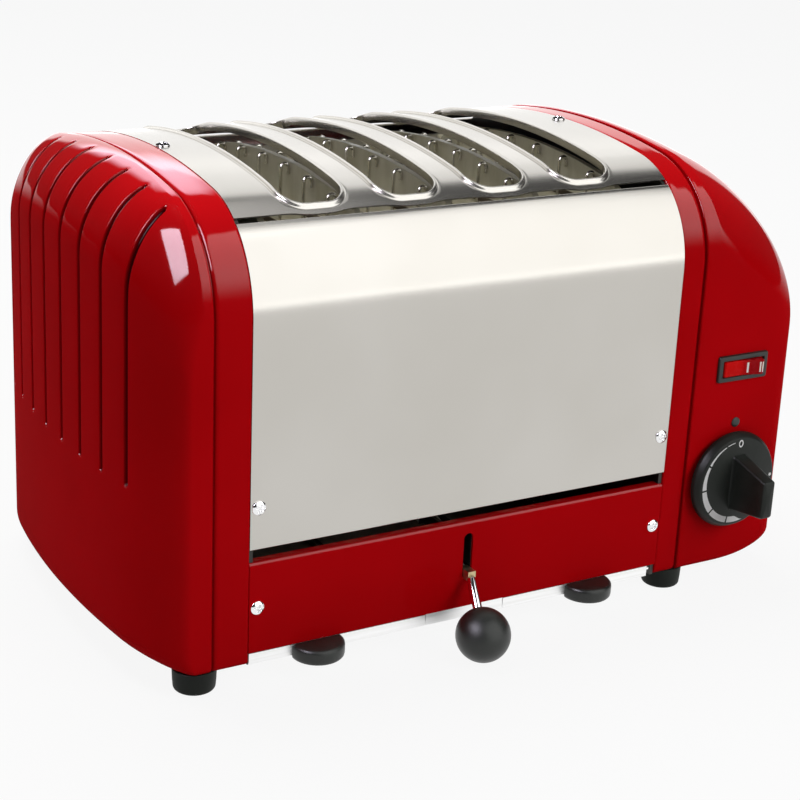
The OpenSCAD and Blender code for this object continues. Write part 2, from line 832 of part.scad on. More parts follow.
module wire_guard(j) {
    color("silver") placed() translate([card_x(j), 0, 0]) for (side = [-1, 1])
        if (card_faces_slot(j, side)) mirror([side < 0 ? 1 : 0, 0, 0])
            translate([slot_pitch / 2 - wire_off, 0, 0]) {
                for (i = [0 : wire_count - 1]) guard_wire((i - (wire_count - 1) / 2) * wire_pitch);
                translate([-guard_bar / 2, -baffle_in, card_z])
                    cube([guard_bar, 2 * baffle_in, guard_bar]);
            }
}

// Lever
module lever_bracket() {
    low = pivot_z - bracket_half;
    high = pivot_z + bracket_half;
    color("darkgray") placed() for (side = [-1, 1]) difference() {
        union() {
            translate([lever_x + side * (cheek_in + cheek_t / 2) - cheek_t / 2, -front_in, low])
                cube([cheek_t, bracket_reach - sheet_t, high - low]);
            translate([lever_x + side * (cheek_in + bracket_foot / 2) - bracket_foot / 2, -front_in, low])
                cube([bracket_foot, cheek_t, high - low]);
        }
        translate([lever_x, pivot_y, pivot_z]) rotate([0, 90, 0])
            cylinder(r = pivot_r + running_gap, h = 10 * cheek_t, center = true);
    }
}

module lever_pivot_pin() {
    half = cheek_in + cheek_t;
    color("silver") placed() translate([lever_x, pivot_y, pivot_z]) rotate([0, 90, 0]) {
        cylinder(r = pivot_r, h = 2 * half + 2, center = true);
        for (end = [-half - 2, half + 0.1]) translate([0, 0, end]) cylinder(r = pivot_r + 1.5, h = 1.9);
    }
}

module lever_arm() {
    color("darkgray") placed() difference() {
        along_x(lever_x - arm_t / 2, lever_x + arm_t / 2) {
            bar_2d([pivot_y, pivot_z], [arm_end_y, arm_end_z], arm_w);
            bar_2d([-socket_back + socket_h / 2, socket_z], [pivot_y, pivot_z], socket_h);
            translate([pivot_y, pivot_z]) circle(pivot_r + 4);
            translate([arm_end_y, arm_end_z]) circle(roller_r);
        }
        translate([lever_x, pivot_y, pivot_z]) rotate([0, 90, 0])
            cylinder(r = pivot_r + running_gap, h = 2 * arm_t, center = true);
    }
}

module lever_socket() {
    color("darkgoldenrod") placed() difference() {
        translate([lever_x - socket_w / 2, -socket_front, socket_z - socket_h / 2])
            cube([socket_w, socket_front - socket_back, socket_h]);
        rod_between(rod_start, ball_pos, rod_r + running_gap);
    }
}

module lever_rod() {
    tip = mix(rod_start, ball_pos, 0.8);
    color("silver") placed() rod_between(rod_start, tip, rod_r);
}

module lever_ball() {
    tip = mix(rod_start, ball_pos, 0.8);
    color("black") placed() difference() {
        translate(ball_pos) sphere(ball_r);
        rod_between(rod_start, tip, rod_r + running_gap);
    }
}

// Bread rack
module rack_crossbar() {
    color("darkgray") placed() difference() {
        union() {
            translate([post_left, -crossbar_w / 2, crossbar_z])
                cube([post_right - post_left, crossbar_w, crossbar_h]);
            for (x = [post_left, post_right])
                translate([x, 0, crossbar_z]) cylinder(r = eye_r, h = crossbar_h);
        }
        for (x = [post_left, post_right])
            translate([x, 0, crossbar_z - past])
                cylinder(r = post_r + running_gap, h = crossbar_h + 2 * past);
    }
}

module bread_support(i) {
    x = slot_first + i * slot_pitch;
    strap_t = 2;
    color("darkgray") placed() {
        translate([x - support_w / 2, -support_len / 2, support_top - support_t])
            cube([support_w, support_len, support_t]);
        translate([x - strap_t / 2, -crossbar_w / 2, crossbar_top])
            cube([strap_t, crossbar_w, support_rise - support_t]);
    }
}

// Timer
module timer_body() {
    color("dimgray") placed() translate([knob_pos_x, 0, knob_z]) difference() {
        translate([-timer_size / 2, -casting_in, -timer_size / 2])
            cube([timer_size, timer_deep, timer_size]);
        translate([0, -casting_in + timer_deep / 2, 0]) rotate([90, 0, 0])
            cylinder(r = shaft_r + running_gap, h = timer_deep);
    }
}

shaft_back = casting_in - timer_deep / 2 + slip_gap;
shaft_front = dome_face + knob_gap + skirt_h;

module timer_shaft() {
    color("silver") placed() translate([knob_pos_x, -shaft_back, knob_z])
        rotate([90, 0, 0]) cylinder(r = shaft_r, h = shaft_front - shaft_back);
}

// Skirt and grip: the grip is a thin wedge that shortens towards its outer edge
module timer_knob() {
    back = dome_face + knob_gap;
    color("black") placed() translate([knob_pos_x, -back, knob_z]) difference() {
        union() {
            rotate([90, 0, 0]) rotate_extrude()
                polygon([[0, 0], [knob_r, 0], [knob_r, 2], [knob_r - 1, 3],
                    [knob_r - 3.5, skirt_h], [0, skirt_h]]);
            along_x(-grip_w / 2, grip_w / 2)
                polygon([[-skirt_h + past, -grip_root / 2], [-skirt_h, -grip_root / 2],
                    [-skirt_h - grip_h, -grip_tip / 2], [-skirt_h - grip_h, grip_tip / 2],
                    [-skirt_h, grip_root / 2], [-skirt_h + past, grip_root / 2]]);
        }
        rotate([90, 0, 0]) cylinder(r = shaft_r + running_gap, h = skirt_h + running_gap);
    }
}

module timer_index() {
    color("black") placed() translate([knob_pos_x + index_side, -dome_face, knob_z + index_up])
        rotate([90, 0, 0]) cylinder(r = index_r, h = 0.8);
}

// Switch
module switch_housing() {
    color("black") placed() translate([switch_pos_x, 0, switch_z]) difference() {
        union() {
            translate([-bezel_w / 2, -dome_face - bezel_t, -bezel_h / 2]) cube([bezel_w, bezel_t, bezel_h]);
            translate([-housing_w / 2, -dome_face, -housing_h / 2])
                cube([housing_w, housing_deep, housing_h]);
        }
        translate([housing_wall - housing_w / 2, -dome_face - bezel_t - past, housing_wall - housing_h / 2])
            cube([housing_w - 2 * housing_wall, housing_deep / 2 + past, housing_h - 2 * housing_wall]);
        translate([0, -rocker_pivot, 0])
            cylinder(r = rocker_pin_r + running_gap, h = housing_h - housing_wall, center = true);
    }
}

// The rocker's two faces meet in a shallow valley, and one of them is pressed in
module switch_rocker() {
    crest = dome_face + bezel_t - rocker_pivot + 0.6;
    half = rocker_w / 2;
    rise = half * tan(rocker_swing / 2);
    color("red") placed() translate([switch_pos_x, -rocker_pivot, switch_z]) {
        rotate(-rocker_swing / 2) translate([0, 0, -rocker_h / 2]) linear_extrude(rocker_h)
            polygon([[-half, 0], [-half, -crest - rise], [0, -crest],
                [half, -crest - rise], [half, 0], [0, 3]]);
        cylinder(r = rocker_pin_r, h = housing_h - housing_wall - 2 * running_gap, center = true);
    }
}

module terminal_block() {
    color("ivory") placed() translate([steel_right, half_depth - terminal_in, terminal_z])
        cube([terminal_w, terminal_deep, terminal_h]);
}

// Crumb trays and their runners
module channel_2d(web_x, side) {
    leg_x = side < 0 ? web_x - runner_leg : web_x;
    translate([leg_x, runner_low]) square([runner_leg, runner_t]);
    translate([leg_x, runner_high]) square([runner_leg, runner_t]);
    translate([side < 0 ? web_x - runner_t : web_x, runner_low])
        square([runner_t, runner_high + runner_t - runner_low]);
}

module tray_runner_left() {
    color("darkgray") placed() along_y(-front_in + flange_t + free_gap, tray_back + 2)
        channel_2d(chassis_left, 1);
}

module tray_runner_right() {
    color("darkgray") placed() along_y(-front_in + flange_t + free_gap, tray_back + 2)
        channel_2d(chassis_right, -1);
}

// The fixed middle runner hangs under both rails and closes the front between the trays
module tray_runner_centre() {
    color("darkgray") placed() {
        along_y(-front_lap_y, half_depth) {
            translate([strip_left, rail_z - runner_t]) square([2 * strip_half, runner_t]);
            for (x = [strip_left, strip_right - runner_t])
                translate([x, runner_low]) square([runner_t, rail_z - runner_low]);
        }
        along_y(-front_in, half_depth) for (z = [runner_low, runner_high]) {
            translate([strip_left - runner_leg + runner_t, z]) square([runner_leg, runner_t]);
            translate([strip_right - runner_t, z]) square([runner_leg, runner_t]);
        }
        translate([strip_left, -half_depth, tray_z])
            cube([2 * strip_half, sheet_t, rail_z - tray_z]);
    }
}

// A shallow pan with two flanges and a front that shows under the rail
module crumb_tray(low_x, high_x, front_low, front_high) {
    wall_low = low_x + tray_flange_w;
    wall_high = high_x - tray_flange_w;
    color("silver") placed() {
        along_y(-front_lap_y, tray_back) {
            translate([wall_low, tray_z]) square([wall_high - wall_low, tray_t]);
            for (x = [wall_low, wall_high - tray_t]) translate([x, tray_z]) square([tray_t, tray_wall_h]);
            translate([low_x, flange_z]) square([tray_flange_w + tray_t, tray_t]);
            translate([wall_high - tray_t, flange_z]) square([tray_flange_w + tray_t, tray_t]);
        }
        translate([wall_low, tray_back - tray_t, tray_z]) cube([wall_high - wall_low, tray_t, tray_wall_h]);
        translate([front_low, -half_depth, tray_z]) cube([front_high - front_low, sheet_t, tray_front_h]);
    }
}

module crumb_tray_left() {
    crumb_tray(chassis_left + runner_t + slip_gap, strip_left - slip_gap,
        steel_left + tray_front_gap, strip_left - tray_front_gap);
}

module crumb_tray_right() {
    crumb_tray(strip_right + slip_gap, chassis_right - runner_t - slip_gap,
        strip_right + tray_front_gap, steel_right - right_front_short);
}

module tray_pull(x) {
    low = tray_z + tray_front_h - pull_h;
    color("black") placed() intersection() {
        translate([x, -half_depth, low]) cylinder(r = pull_r, h = pull_h);
        translate([x - pull_r, -half_depth - pull_r, low]) cube([2 * pull_r, pull_r, pull_h]);
    }
}

module tray_pull_left() tray_pull(steel_left + pull_left);
module tray_pull_right() tray_pull(steel_right - pull_right);

left_end_casting();
right_end_casting();
front_panel();
rear_panel();
top_plate();
front_base_rail();
rear_base_rail();
left_chassis_wall();
right_chassis_wall();
front_baffle();
rear_baffle();
foot_front_left();
foot_front_right();
foot_rear_left();
foot_rear_right();
panel_screws();
top_screws();
switch_housing();
timer_body();
timer_index();
cord_gland();
for (j = [0 : slot_count]) element_card(j);
for (j = [0 : slot_count]) element_ribbon(j);
for (j = [0 : slot_count]) wire_guard(j);
guide_posts();
lever_bracket();
lever_pivot_pin();
terminal_block();
tray_runner_left();
tray_runner_right();
tray_runner_centre();
lever_arm();
lever_socket();
lever_rod();
lever_ball();
rack_crossbar();
for (i = [0 : slot_count - 1]) bread_support(i);
timer_shaft();
timer_knob();
switch_rocker();
crumb_tray_left();
crumb_tray_right();
tray_pull_left();
tray_pull_right();
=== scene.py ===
# %% [markdown]
# # A lever toaster, dressed for its portrait
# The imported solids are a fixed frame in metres: every solid already sits where the object has it.
# This script keeps the ones whose shape is right, gives them a finish, and lays finer skins over the
# rest: rounded castings with pressed vents, sheet steel with rolled rims, moulded knobs.

# %% Load the frame
import json
import math
from collections import namedtuple

import bmesh
import bpy
import numpy as np
from mathutils import Euler, Matrix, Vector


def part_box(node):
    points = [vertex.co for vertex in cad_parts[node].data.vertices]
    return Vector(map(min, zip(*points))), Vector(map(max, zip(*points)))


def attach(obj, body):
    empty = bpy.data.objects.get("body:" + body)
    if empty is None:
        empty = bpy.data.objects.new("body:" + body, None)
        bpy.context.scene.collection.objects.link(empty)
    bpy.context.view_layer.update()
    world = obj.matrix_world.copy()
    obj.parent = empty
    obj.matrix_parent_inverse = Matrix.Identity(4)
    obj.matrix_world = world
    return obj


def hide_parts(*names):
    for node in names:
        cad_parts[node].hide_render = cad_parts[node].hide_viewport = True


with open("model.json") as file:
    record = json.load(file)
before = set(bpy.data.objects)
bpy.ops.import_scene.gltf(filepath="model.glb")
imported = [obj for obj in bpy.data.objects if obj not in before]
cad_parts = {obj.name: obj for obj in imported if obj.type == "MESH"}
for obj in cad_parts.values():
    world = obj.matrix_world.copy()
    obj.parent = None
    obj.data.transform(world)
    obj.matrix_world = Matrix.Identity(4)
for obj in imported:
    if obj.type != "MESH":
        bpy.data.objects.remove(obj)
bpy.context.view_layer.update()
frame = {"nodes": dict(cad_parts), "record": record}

# %% [markdown]
# The body was drawn about its own middle and then moved, so that the middle of the whole outline, lever
# and gland included, stands over the origin. All shapes below are worked out in millimetres about the
# body's own middle, and one helper turns them into metres in the frame.

# %% Sizes of the body in millimetres
MM = 0.001
front_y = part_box("front_panel")[0].y / MM
rear_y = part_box("rear_panel")[1].y / MM
BODY_Y = (front_y + rear_y) / 2
HALF_DEPTH = (rear_y - front_y) / 2
STEEL_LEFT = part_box("front_panel")[0].x / MM
STEEL_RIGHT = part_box("front_panel")[1].x / MM
HALF_LEN, HEIGHT, SHOULDER_R, CROWN_R = 178.5, 220.5, 48.0, 392.0
BASE_Z, SHEET = 10.5, 1.2
shoulder_y = HALF_DEPTH - SHOULDER_R
crown_z = HEIGHT - CROWN_R
shoulder_z = crown_z + math.sqrt((CROWN_R - SHOULDER_R) ** 2 - shoulder_y ** 2)
crown_half = math.asin(shoulder_y / (CROWN_R - SHOULDER_R))
shoulder_turn = math.pi / 2 - crown_half
print(f"body {2 * HALF_LEN:.1f} x {2 * HALF_DEPTH:.1f} mm, shoulders end at {shoulder_z:.1f} mm")

# %% [markdown]
# The camera comes first. It stands at the front left, a little above the toaster, with a long lens, as
# the lines of the photographed object say.

# %% Camera
lens = bpy.data.cameras.new("portrait_lens")
lens.lens = 79.3442
lens.sensor_width = 36.0
lens.clip_start, lens.clip_end = 0.05, 30.0
camera = bpy.data.objects.new("portrait_camera", lens)
camera.location = (-0.426390, -0.713797, 0.381914)
camera.rotation_euler = (1.229215, -0.042707, -0.520687)
bpy.context.scene.collection.objects.link(camera)
bpy.context.scene.camera = camera
print("camera", tuple(camera.location))

# %% [markdown]
# A shape here is an array of points on a grid. One helper numbers the quads of a grid, another joins
# several grids into one mesh, welds the points they share and turns the faces outwards. A thin sheet is
# drawn once, and a Solidify modifier gives it its wall.


# %% From arrays to meshes
WELD = 2e-6


def quads(rows, cols, wrap):
    """Corner numbers of a grid's quads: each point with its right, upper right and upper neighbour."""
    n = np.arange(rows * cols).reshape(rows, cols)
    if wrap:
        n = np.hstack([n, n[:, :1]])
    return np.stack([n[:-1, :-1], n[:-1, 1:], n[1:, 1:], n[1:, :-1]], axis=-1).reshape(-1, 4)


def ring(grid):
    """Marks a grid whose last column meets its first."""
    return grid, True


def lid(loop):
    """A flat lid on a closed loop of points: the loop, and its middle repeated."""
    middle = np.broadcast_to(loop.mean(axis=0), loop.shape)
    return ring(np.stack([loop, middle]))


def closed(grid):
    """A tube of loops with a lid on both ends."""
    return [ring(grid), lid(grid[0]), lid(grid[-1])]


def surface(*coordinates):
    """Spreads coordinates over the grid that they share and joins them into points."""
    return np.stack(np.broadcast_arrays(*coordinates), axis=-1)


def make_piece(name, node, patches, slot, body="body", crease=40.0, wall=0.0, out=None, finish=None):
    """Joins grids of points in millimetres into one piece that takes a solid's place and rides on a body. A
    fourth number gives the painted shade of a hollow. The finish is the slot's own where none is named."""
    points, faces, start = [], [], 0
    for patch in patches:
        grid, wrap = patch if isinstance(patch, tuple) else (patch, False)
        rows, cols = grid.shape[:2]
        points.append(grid.reshape(rows * cols, -1))
        faces.append(quads(rows, cols, wrap) + start)
        start += rows * cols
    points = np.concatenate(points)
    place = (points[:, :3] + (0.0, BODY_Y, 0.0)) * MM
    mesh = bpy.data.meshes.new(name)
    mesh.from_pydata(place.tolist(), [], np.concatenate(faces).tolist())
    # a fourth number is painted shade, which the red enamel reads to darken the hollows
    if points.shape[1] == 4:
        hollow = mesh.attributes.new("hollow", "FLOAT", "POINT")
        hollow.data.foreach_set("value", points[:, 3].astype(np.float32))
    work = bmesh.new()
    work.from_mesh(mesh)
    bmesh.ops.remove_doubles(work, verts=work.verts, dist=WELD)
    bmesh.ops.recalc_face_normals(work, faces=work.faces)
    if out is not None:
        facing = sum(f.normal.dot(out) * f.calc_area() for f in work.faces)
        if facing < 0:
            bmesh.ops.reverse_faces(work, faces=work.faces)
    work.to_mesh(mesh)
    work.free()
    mesh.shade_smooth()
    mesh.set_sharp_from_angle(angle=math.radians(crease))
    if wall:
        # open edges are marked sharp, so that the wall's rim isn't smoothed into the sheet
        used = np.zeros(len(mesh.loops), int)
        mesh.loops.foreach_get("edge_index", used)
        sharp = np.zeros(len(mesh.edges), bool)
        mesh.edges.foreach_get("use_edge_sharp", sharp)
        mesh.edges.foreach_set("use_edge_sharp", sharp | (np.bincount(used, minlength=len(sharp)) == 1))
    mesh.materials.append(finishes[finish or slot])
    piece = bpy.data.objects.new(name, mesh)
    bpy.context.scene.collection.objects.link(piece)
    if wall:
        shell = piece.modifiers.new("wall", "SOLIDIFY")
        shell.thickness, shell.offset = wall * MM, -1.0
    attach(piece, body)
    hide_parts(node)
    print(f"{name}: {len(mesh.polygons)} faces")
    return piece


def cross_axes(axis):
    """An axis of length one, and two directions square to it and to each other."""
    axis = np.asarray(axis, float) / np.linalg.norm(axis)
    first = np.cross(axis, (0.0, 0.0, 1.0) if abs(axis[2]) < 0.9 else (1.0, 0.0, 0.0))
    first /= np.linalg.norm(first)
    return axis, first, np.cross(axis, first)


def lathe(profile, centre, axis, count=64):
    """Turns a profile of (radius, height) pairs about an axis through a centre."""
    profile = np.asarray(profile, float)
    axis, first, second = cross_axes(axis)
    turn = np.linspace(0, 2 * np.pi, count, endpoint=False)
    spoke = np.cos(turn)[:, None] * first + np.sin(turn)[:, None] * second
    return profile[:, 0, None, None] * spoke + profile[:, 1, None, None] * axis + np.asarray(centre, float)


def turned(profile, centre, axis, count=64):
    """The only patch of a piece that is turned all over."""
    return [ring(lathe(profile, centre, axis, count))]


def box_middle(name):
    """The middle of a solid's box, in millimetres about the body's own middle."""
    low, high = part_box(name)
    return (np.array(low, float) + np.array(high, float)) / 2 / MM - (0.0, BODY_Y, 0.0)


def arc(centre, radius, start, end, count):
    """Points of a circle's arc in a plane, from one angle in degrees to another."""
    turn = np.radians(np.linspace(start, end, count))
    return surface(centre[0] + radius * np.cos(turn), centre[1] + radius * np.sin(turn))


print("a grid of 3 by 4 points has", len(quads(3, 4, False)), "quads, or", len(quads(3, 4, True)), "as a ring")

# %% [markdown]
# A finish is a small network of nodes. Written out node by node it is hard to read, so one class wraps a
# socket: sums and products of wrapped sockets add Math nodes, and one method makes any other node.


# %% Shader expressions
class Tone:
    """A value on its way through the nodes of one finish."""

    def __init__(self, tree, socket):
        self.tree, self.socket = tree, socket

    def node(self, kind, settings=None, inputs=None, output=0):
        """Adds a node of a type: its settings first, then the values or links of its sockets."""
        made = self.tree.nodes.new(kind)
        for key, value in (settings or {}).items():
            setattr(made, key, value)
        for key, value in (inputs or {}).items():
            if isinstance(value, Tone):
                self.tree.links.new(value.socket, made.inputs[key])
            else:
                made.inputs[key].default_value = value
        return Tone(self.tree, made.outputs[output])

    def math(self, operation, *values):
        return self.node("ShaderNodeMath", {"operation": operation}, dict(enumerate(values)))

    def __rsub__(self, other):
        return self.math("SUBTRACT", other, self)

    def __abs__(self):
        return self.math("ABSOLUTE", self)

    def ease(self, low, high, to_low=0.0, to_high=1.0):
        """Goes smoothly from one value to another while this one goes from low to high."""
        return self.node("ShaderNodeMapRange", {"interpolation_type": "SMOOTHSTEP"},
                         {0: self, 1: low, 2: high, 3: to_low, 4: to_high})

    def blend(self, one, other):
        """Mixes two colours, with this value as the share of the second."""
        return self.node("ShaderNodeMix", {"data_type": "RGBA"}, {0: self, 6: one, 7: other}, output=2)

    def drift(self, to_low=0.0, to_high=1.0):
        """Spreads noise, which keeps close to its middle, over the way from one value to another."""
        return self.ease(0.3, 0.7, to_low, to_high)

    def shade(self, dark, light):
        """A colour that wanders with this noise between a dark one and a light one."""
        return self.drift().blend(rgb(*dark), rgb(*light))

    def noise(self, scale, detail=2.0, rough=0.5):
        """Soft noise at this place; scale counts its grains to the metre."""
        return self.node("ShaderNodeTexNoise", {},
                         {"Vector": self, "Scale": scale, "Detail": detail, "Roughness": rough})

    def stretch(self, x, y, z):
        """This place, stretched along the three axes."""
        return self.node("ShaderNodeMapping", {}, {"Vector": self, "Scale": (x, y, z)})

    def parts(self):
        split = self.node("ShaderNodeSeparateXYZ", {}, {0: self})
        return [Tone(self.tree, split.socket.node.outputs[i]) for i in range(3)]

    def bump(self, strength, distance):
        return self.node("ShaderNodeBump", {}, {"Strength": strength, "Distance": distance, "Height": self})


for word, operation in (("__add__", "ADD"), ("__sub__", "SUBTRACT"), ("__mul__", "MULTIPLY"),
                        ("__truediv__", "DIVIDE"), ("__lt__", "LESS_THAN"), ("__gt__", "GREATER_THAN"),
                        ("least", "MINIMUM"), ("most", "MAXIMUM")):
    setattr(Tone, word, lambda one, other, operation=operation: one.math(operation, one, other))

finishes = {}


def new_finish(name, **constants):
    """A material with one Principled shader, kept by its name. Gives the shader and the place on the object."""
    finish = finishes[name] = bpy.data.materials.new(name)
    finish.use_nodes = True
    tree = finish.node_tree
    shader = next(n for n in tree.nodes if n.type == "BSDF_PRINCIPLED")
    for key, value in constants.items():
        shader.inputs[key.replace("_", " ")].default_value = value
    place = tree.nodes.new("ShaderNodeTexCoord")
    return shader, Tone(tree, place.outputs["Object"])


def feed(shader, **values):
    """Links what varies over the surface to the shader's sockets."""
    for key, value in values.items():
        value.tree.links.new(value.socket, shader.inputs[key.replace("_", " ")])


def rgb(red, green, blue):
    """A colour with full cover."""
    return (red, green, blue, 1.0)


def distance(u, v):
    """How far a place lies from a middle, by its two offsets."""
    square = u * u + v * v
    return square.math("SQRT", square)


print("shader expressions ready")

# %% [markdown]
# The red is a stove enamel: a deep base under a clear gloss, with the faint ripple that sprayed and baked
# paint keeps. The ripple is a bump of a few thousandths of a millimetre, far too small to model. The
# photograph shows strong gloss on faces that look up and hardly any on upright ones, so the face's own
# direction gives the clear layer's weight. That is a fit to the picture: real enamel is as clear on every
# side. The mesh marks hollows such as the vents and the fine groove, and painted shade darkens the red there.

# %% Red enamel
shader, place = new_finish("red_enamel", IOR=1.5, Coat_Roughness=0.06, Coat_IOR=1.55, Specular_IOR_Level=0.0)
ripple = place.noise(120.0, 1.0)
cloud = place.noise(14.0, 2.0)
# painted shade: the red turns dark in the vents and the fine groove, where shade falls
hollow = place.node("ShaderNodeAttribute", {"attribute_name": "hollow"}, output="Fac")
upward = place.node("ShaderNodeNewGeometry", output="Normal").parts()[2]
feed(shader,
     Base_Color=hollow.blend(cloud.shade((0.43, 0.0012, 0.0032), (0.48, 0.0014, 0.004)), rgb(0.06, 0.0004, 0.002)),
     Roughness=place.noise(60.0).ease(0.2, 0.8, 0.2, 0.28),
     Coat_Weight=((upward.ease(0.2, 0.42, 0.015, 0.75) + upward.ease(0.5, 0.85, 0.0, 0.25))
                  * (1 - hollow * 0.7)),
     Normal=ripple.bump(0.006, 0.0003))
print("enamel ready")

# %% [markdown]
# The steel sheet is polished, not mirrored: fine grain from the polishing belt blurs what it reflects. The
# grain is noise stretched along the body, and it varies the roughness and tilts the surface a little. The other
# metals wander between two colours. The crumb tray is painted near-black behind its front, as painted shade,
# which keeps the gap above it dark.

# %% Polished steel
shader, place = new_finish("polished_steel", IOR=2.5)
grain = place.stretch(6.0, 400.0, 400.0).noise(6.0, 3.0, 0.6)
smear = place.noise(9.0, 3.0)
feed(shader,
     Base_Color=smear.shade((0.535, 0.515, 0.475), (0.575, 0.555, 0.52)),
     Metallic=smear.ease(0.0, 0.2, 0.98, 1.0),
     Roughness=(grain * 0.08 + smear * 0.05).ease(0.0, 0.16, 0.17, 0.28),
     Normal=grain.bump(0.03, 0.0002))


def plain_metal(name, dark, light, low_rough, high_rough, grains):
    """A metal whose colour and roughness wander a little between two values."""
    shader, place = new_finish(name, Metallic=1.0)
    wander = place.noise(grains, 3.0)
    feed(shader,
         Base_Color=wander.shade(dark, light),
         Roughness=wander.drift(low_rough, high_rough),
         Normal=place.noise(grains * 8, 2.0).bump(0.03, 0.0002))


for row in (("bright_chrome", (0.80, 0.80, 0.81), (0.88, 0.88, 0.88), 0.05, 0.12, 120.0),
            ("plated_steel", (0.60, 0.59, 0.55), (0.70, 0.69, 0.65), 0.35, 0.48, 60.0),
            ("guard_wire", (0.72, 0.69, 0.62), (0.82, 0.80, 0.74), 0.16, 0.28, 90.0),
            ("brass", (0.50, 0.40, 0.22), (0.62, 0.51, 0.31), 0.28, 0.4, 200.0),
            ("heating_ribbon", (0.12, 0.10, 0.07), (0.2, 0.17, 0.12), 0.4, 0.6, 80.0),
            # painted shade: a near-black steel for the parts seen through the gap under the steel
            ("painted_shade_steel", (0.05, 0.048, 0.045), (0.085, 0.08, 0.075), 0.5, 0.65, 60.0)):
    plain_metal(*row)
shader, place = new_finish("tray_steel", Metallic=1.0)
rub = place.stretch(3.0, 200.0, 200.0).noise(5.0, 3.0)
# painted shade: the tray's steel turns near-black a few millimetres behind its bright front
TRAY_SHADE_FROM, TRAY_SHADE_TO = 3.0, 9.0
tray_shade = place.parts()[1].ease((front_y + TRAY_SHADE_FROM) * MM, (front_y + TRAY_SHADE_TO) * MM)
feed(shader,
     Base_Color=tray_shade.blend(rub.shade((0.88, 0.88, 0.87), (0.95, 0.95, 0.95)),
                              rub.shade((0.075, 0.06, 0.045), (0.12, 0.095, 0.07))),
     Roughness=rub.drift(0.3, 0.42) + tray_shade * 0.25)
print("metals ready")

# %% [markdown]
# Moulded black plastic isn't black all over: it has a fine grain and a slightly green cast, and handling
# polishes it in places. Rubber is the same idea, duller.


# %% Blacks
def moulded(name, dark, light, low_rough, high_rough, grains, depth, shine=0.5):
    """A moulded plastic or rubber with a fine pebble grain."""
    shader, place = new_finish(name, IOR=1.46, Specular_IOR_Level=shine)
    pebble = place.noise(grains, 2.0)
    worn = place.noise(45.0, 3.0)
    feed(shader,
         Base_Color=worn.shade(dark, light),
         Roughness=worn.drift(low_rough, high_rough),
         Normal=pebble.bump(0.12, depth))


JET, WORN_JET = (0.012, 0.014, 0.012), (0.02, 0.023, 0.02)
for row in (("black_plastic", JET, WORN_JET, 0.32, 0.45, 900.0, 0.0003),
            ("black_rubber", (0.010, 0.012, 0.010), (0.018, 0.022, 0.018), 0.5, 0.65, 700.0, 0.0004, 0.15),
            ("terminal_ceramic", (0.70, 0.66, 0.56), (0.78, 0.75, 0.66), 0.3, 0.4, 500.0, 0.0002)):
    moulded(*row)
print("blacks ready")

# %% [markdown]
# The heating cards are sheets of mica in tan and grey flakes. Their upper part is painted darker, as
# painted shade under the steel above.

# %% Mica
shader, place = new_finish("mica", IOR=1.56)
flakes = place.stretch(1.0, 1.0, 0.25).noise(70.0, 4.0, 0.65)
height = place.parts()[2]
# painted shade: the cards turn darker towards their top, under the steel
feed(shader,
     Base_Color=height.ease(0.150, 0.215).blend(flakes.shade((0.84, 0.79, 0.60), (0.95, 0.91, 0.74)),
                                                flakes.shade((0.72, 0.68, 0.50), (0.88, 0.84, 0.68))),
     Roughness=flakes.drift(0.28, 0.5),
     Normal=flakes.bump(0.15, 0.0006))
print("mica ready")

# %% [markdown]
# The end castings are the main form. Each is a bowed end face that curves over into the top and rolls round
# into the sides, a fine groove, and a plain band beside the steel. Eight vents run down the face in planes
# across the depth, so the grid's columns run in those planes too, crowded where a vent needs them: the
# vents are then simply points pushed in along the normal. The two ends share one formula with different sizes.

# %% End castings
DOME_PROUD, NECK_W, LIP, WALL = 0.3, 1.0, 1.0, 3.0
END_DRAFT, CURVE_FOLLOW = math.tan(math.radians(0.6)), 0.94
BOTTOM_ROLL, EDGE_R = 11.0, 3.0
VENT_W, VENT_DEEP, VENT_LOW, VENT_EDGE, VENT_SOFT = 2.8, 1.5, 91.0, 0.2, 0.8
DISH_DEEP, DISH_W = 0.25, 2.4
LIP_Y, LIP_REACH, LIP_FLARE = 79.0, 14.0, 1.03
FACE_ROW = 40
vent_y = (np.arange(8) - 3.5) * 21.0
dome_face = HALF_DEPTH + DOME_PROUD
# steel's edge, band, bow, height and fullness of the top curve, corner roll and its depth, bottom, vents' end
Form = namedtuple("Form", "edge band bow curve_h full roll roll_deep bottom vent_end")
LEFT_FORM = Form(-STEEL_LEFT, 16.4, 11.5, 36.0, 1.95, 40.0, 12.5, 10.5, 9.0)
RIGHT_FORM = Form(STEEL_RIGHT, 12.9, 2.0, 58.0, 1.5, 21.0, 14.5, 52.0, 34.0)
# profiles of the dome's edge, the band and its end at the steel: along the length, outwards, and the painted shade
# in the groove
DOME_EDGE = [(0.62, -0.06, 0), (0.3, -0.2, 0), (0.08, -0.45, 0), (0, -0.8, 0.2), (0, -1.5, 0.4),
             (-0.15, -1.8, 0.4)]
BAND_EDGE = [(0.15, -1.8, 0.4), (0, -1.7, 0.3), (-0.08, -1.29, 0.1), (-0.29, -0.99, 0), (-0.64, -0.72, 0),
             (-1.1, -0.49, 0), (-1.63, -0.35, 0), (-2.2, -0.3, 0), (-4, -0.3, 0), (-9, -0.3, 0)]
STEEL_EDGE = [(1.2, -0.3, 0), (0.5, -0.4, 0), (0.15, -0.65, 0), (0, -1.1, 0), (0, -3.0, 0)]


def crown_height(y, inset=0.0):
    """Height of the body's outline over a place between front and rear: a shallow arc, then the shoulders."""
    y = np.abs(y)
    crown = crown_z + np.sqrt((CROWN_R - inset) ** 2 - y ** 2)
    rest = np.clip((SHOULDER_R - inset) ** 2 - (y - shoulder_y) ** 2, 0, None)
    return np.where(y <= (CROWN_R - inset) * math.sin(crown_half), crown, shoulder_z + np.sqrt(rest))


def fall(u):
    """How far a quarter round has dropped: nothing at its start, all at its end."""
    return 1 - np.sqrt(1 - np.clip(u, 0, 1) ** 2)


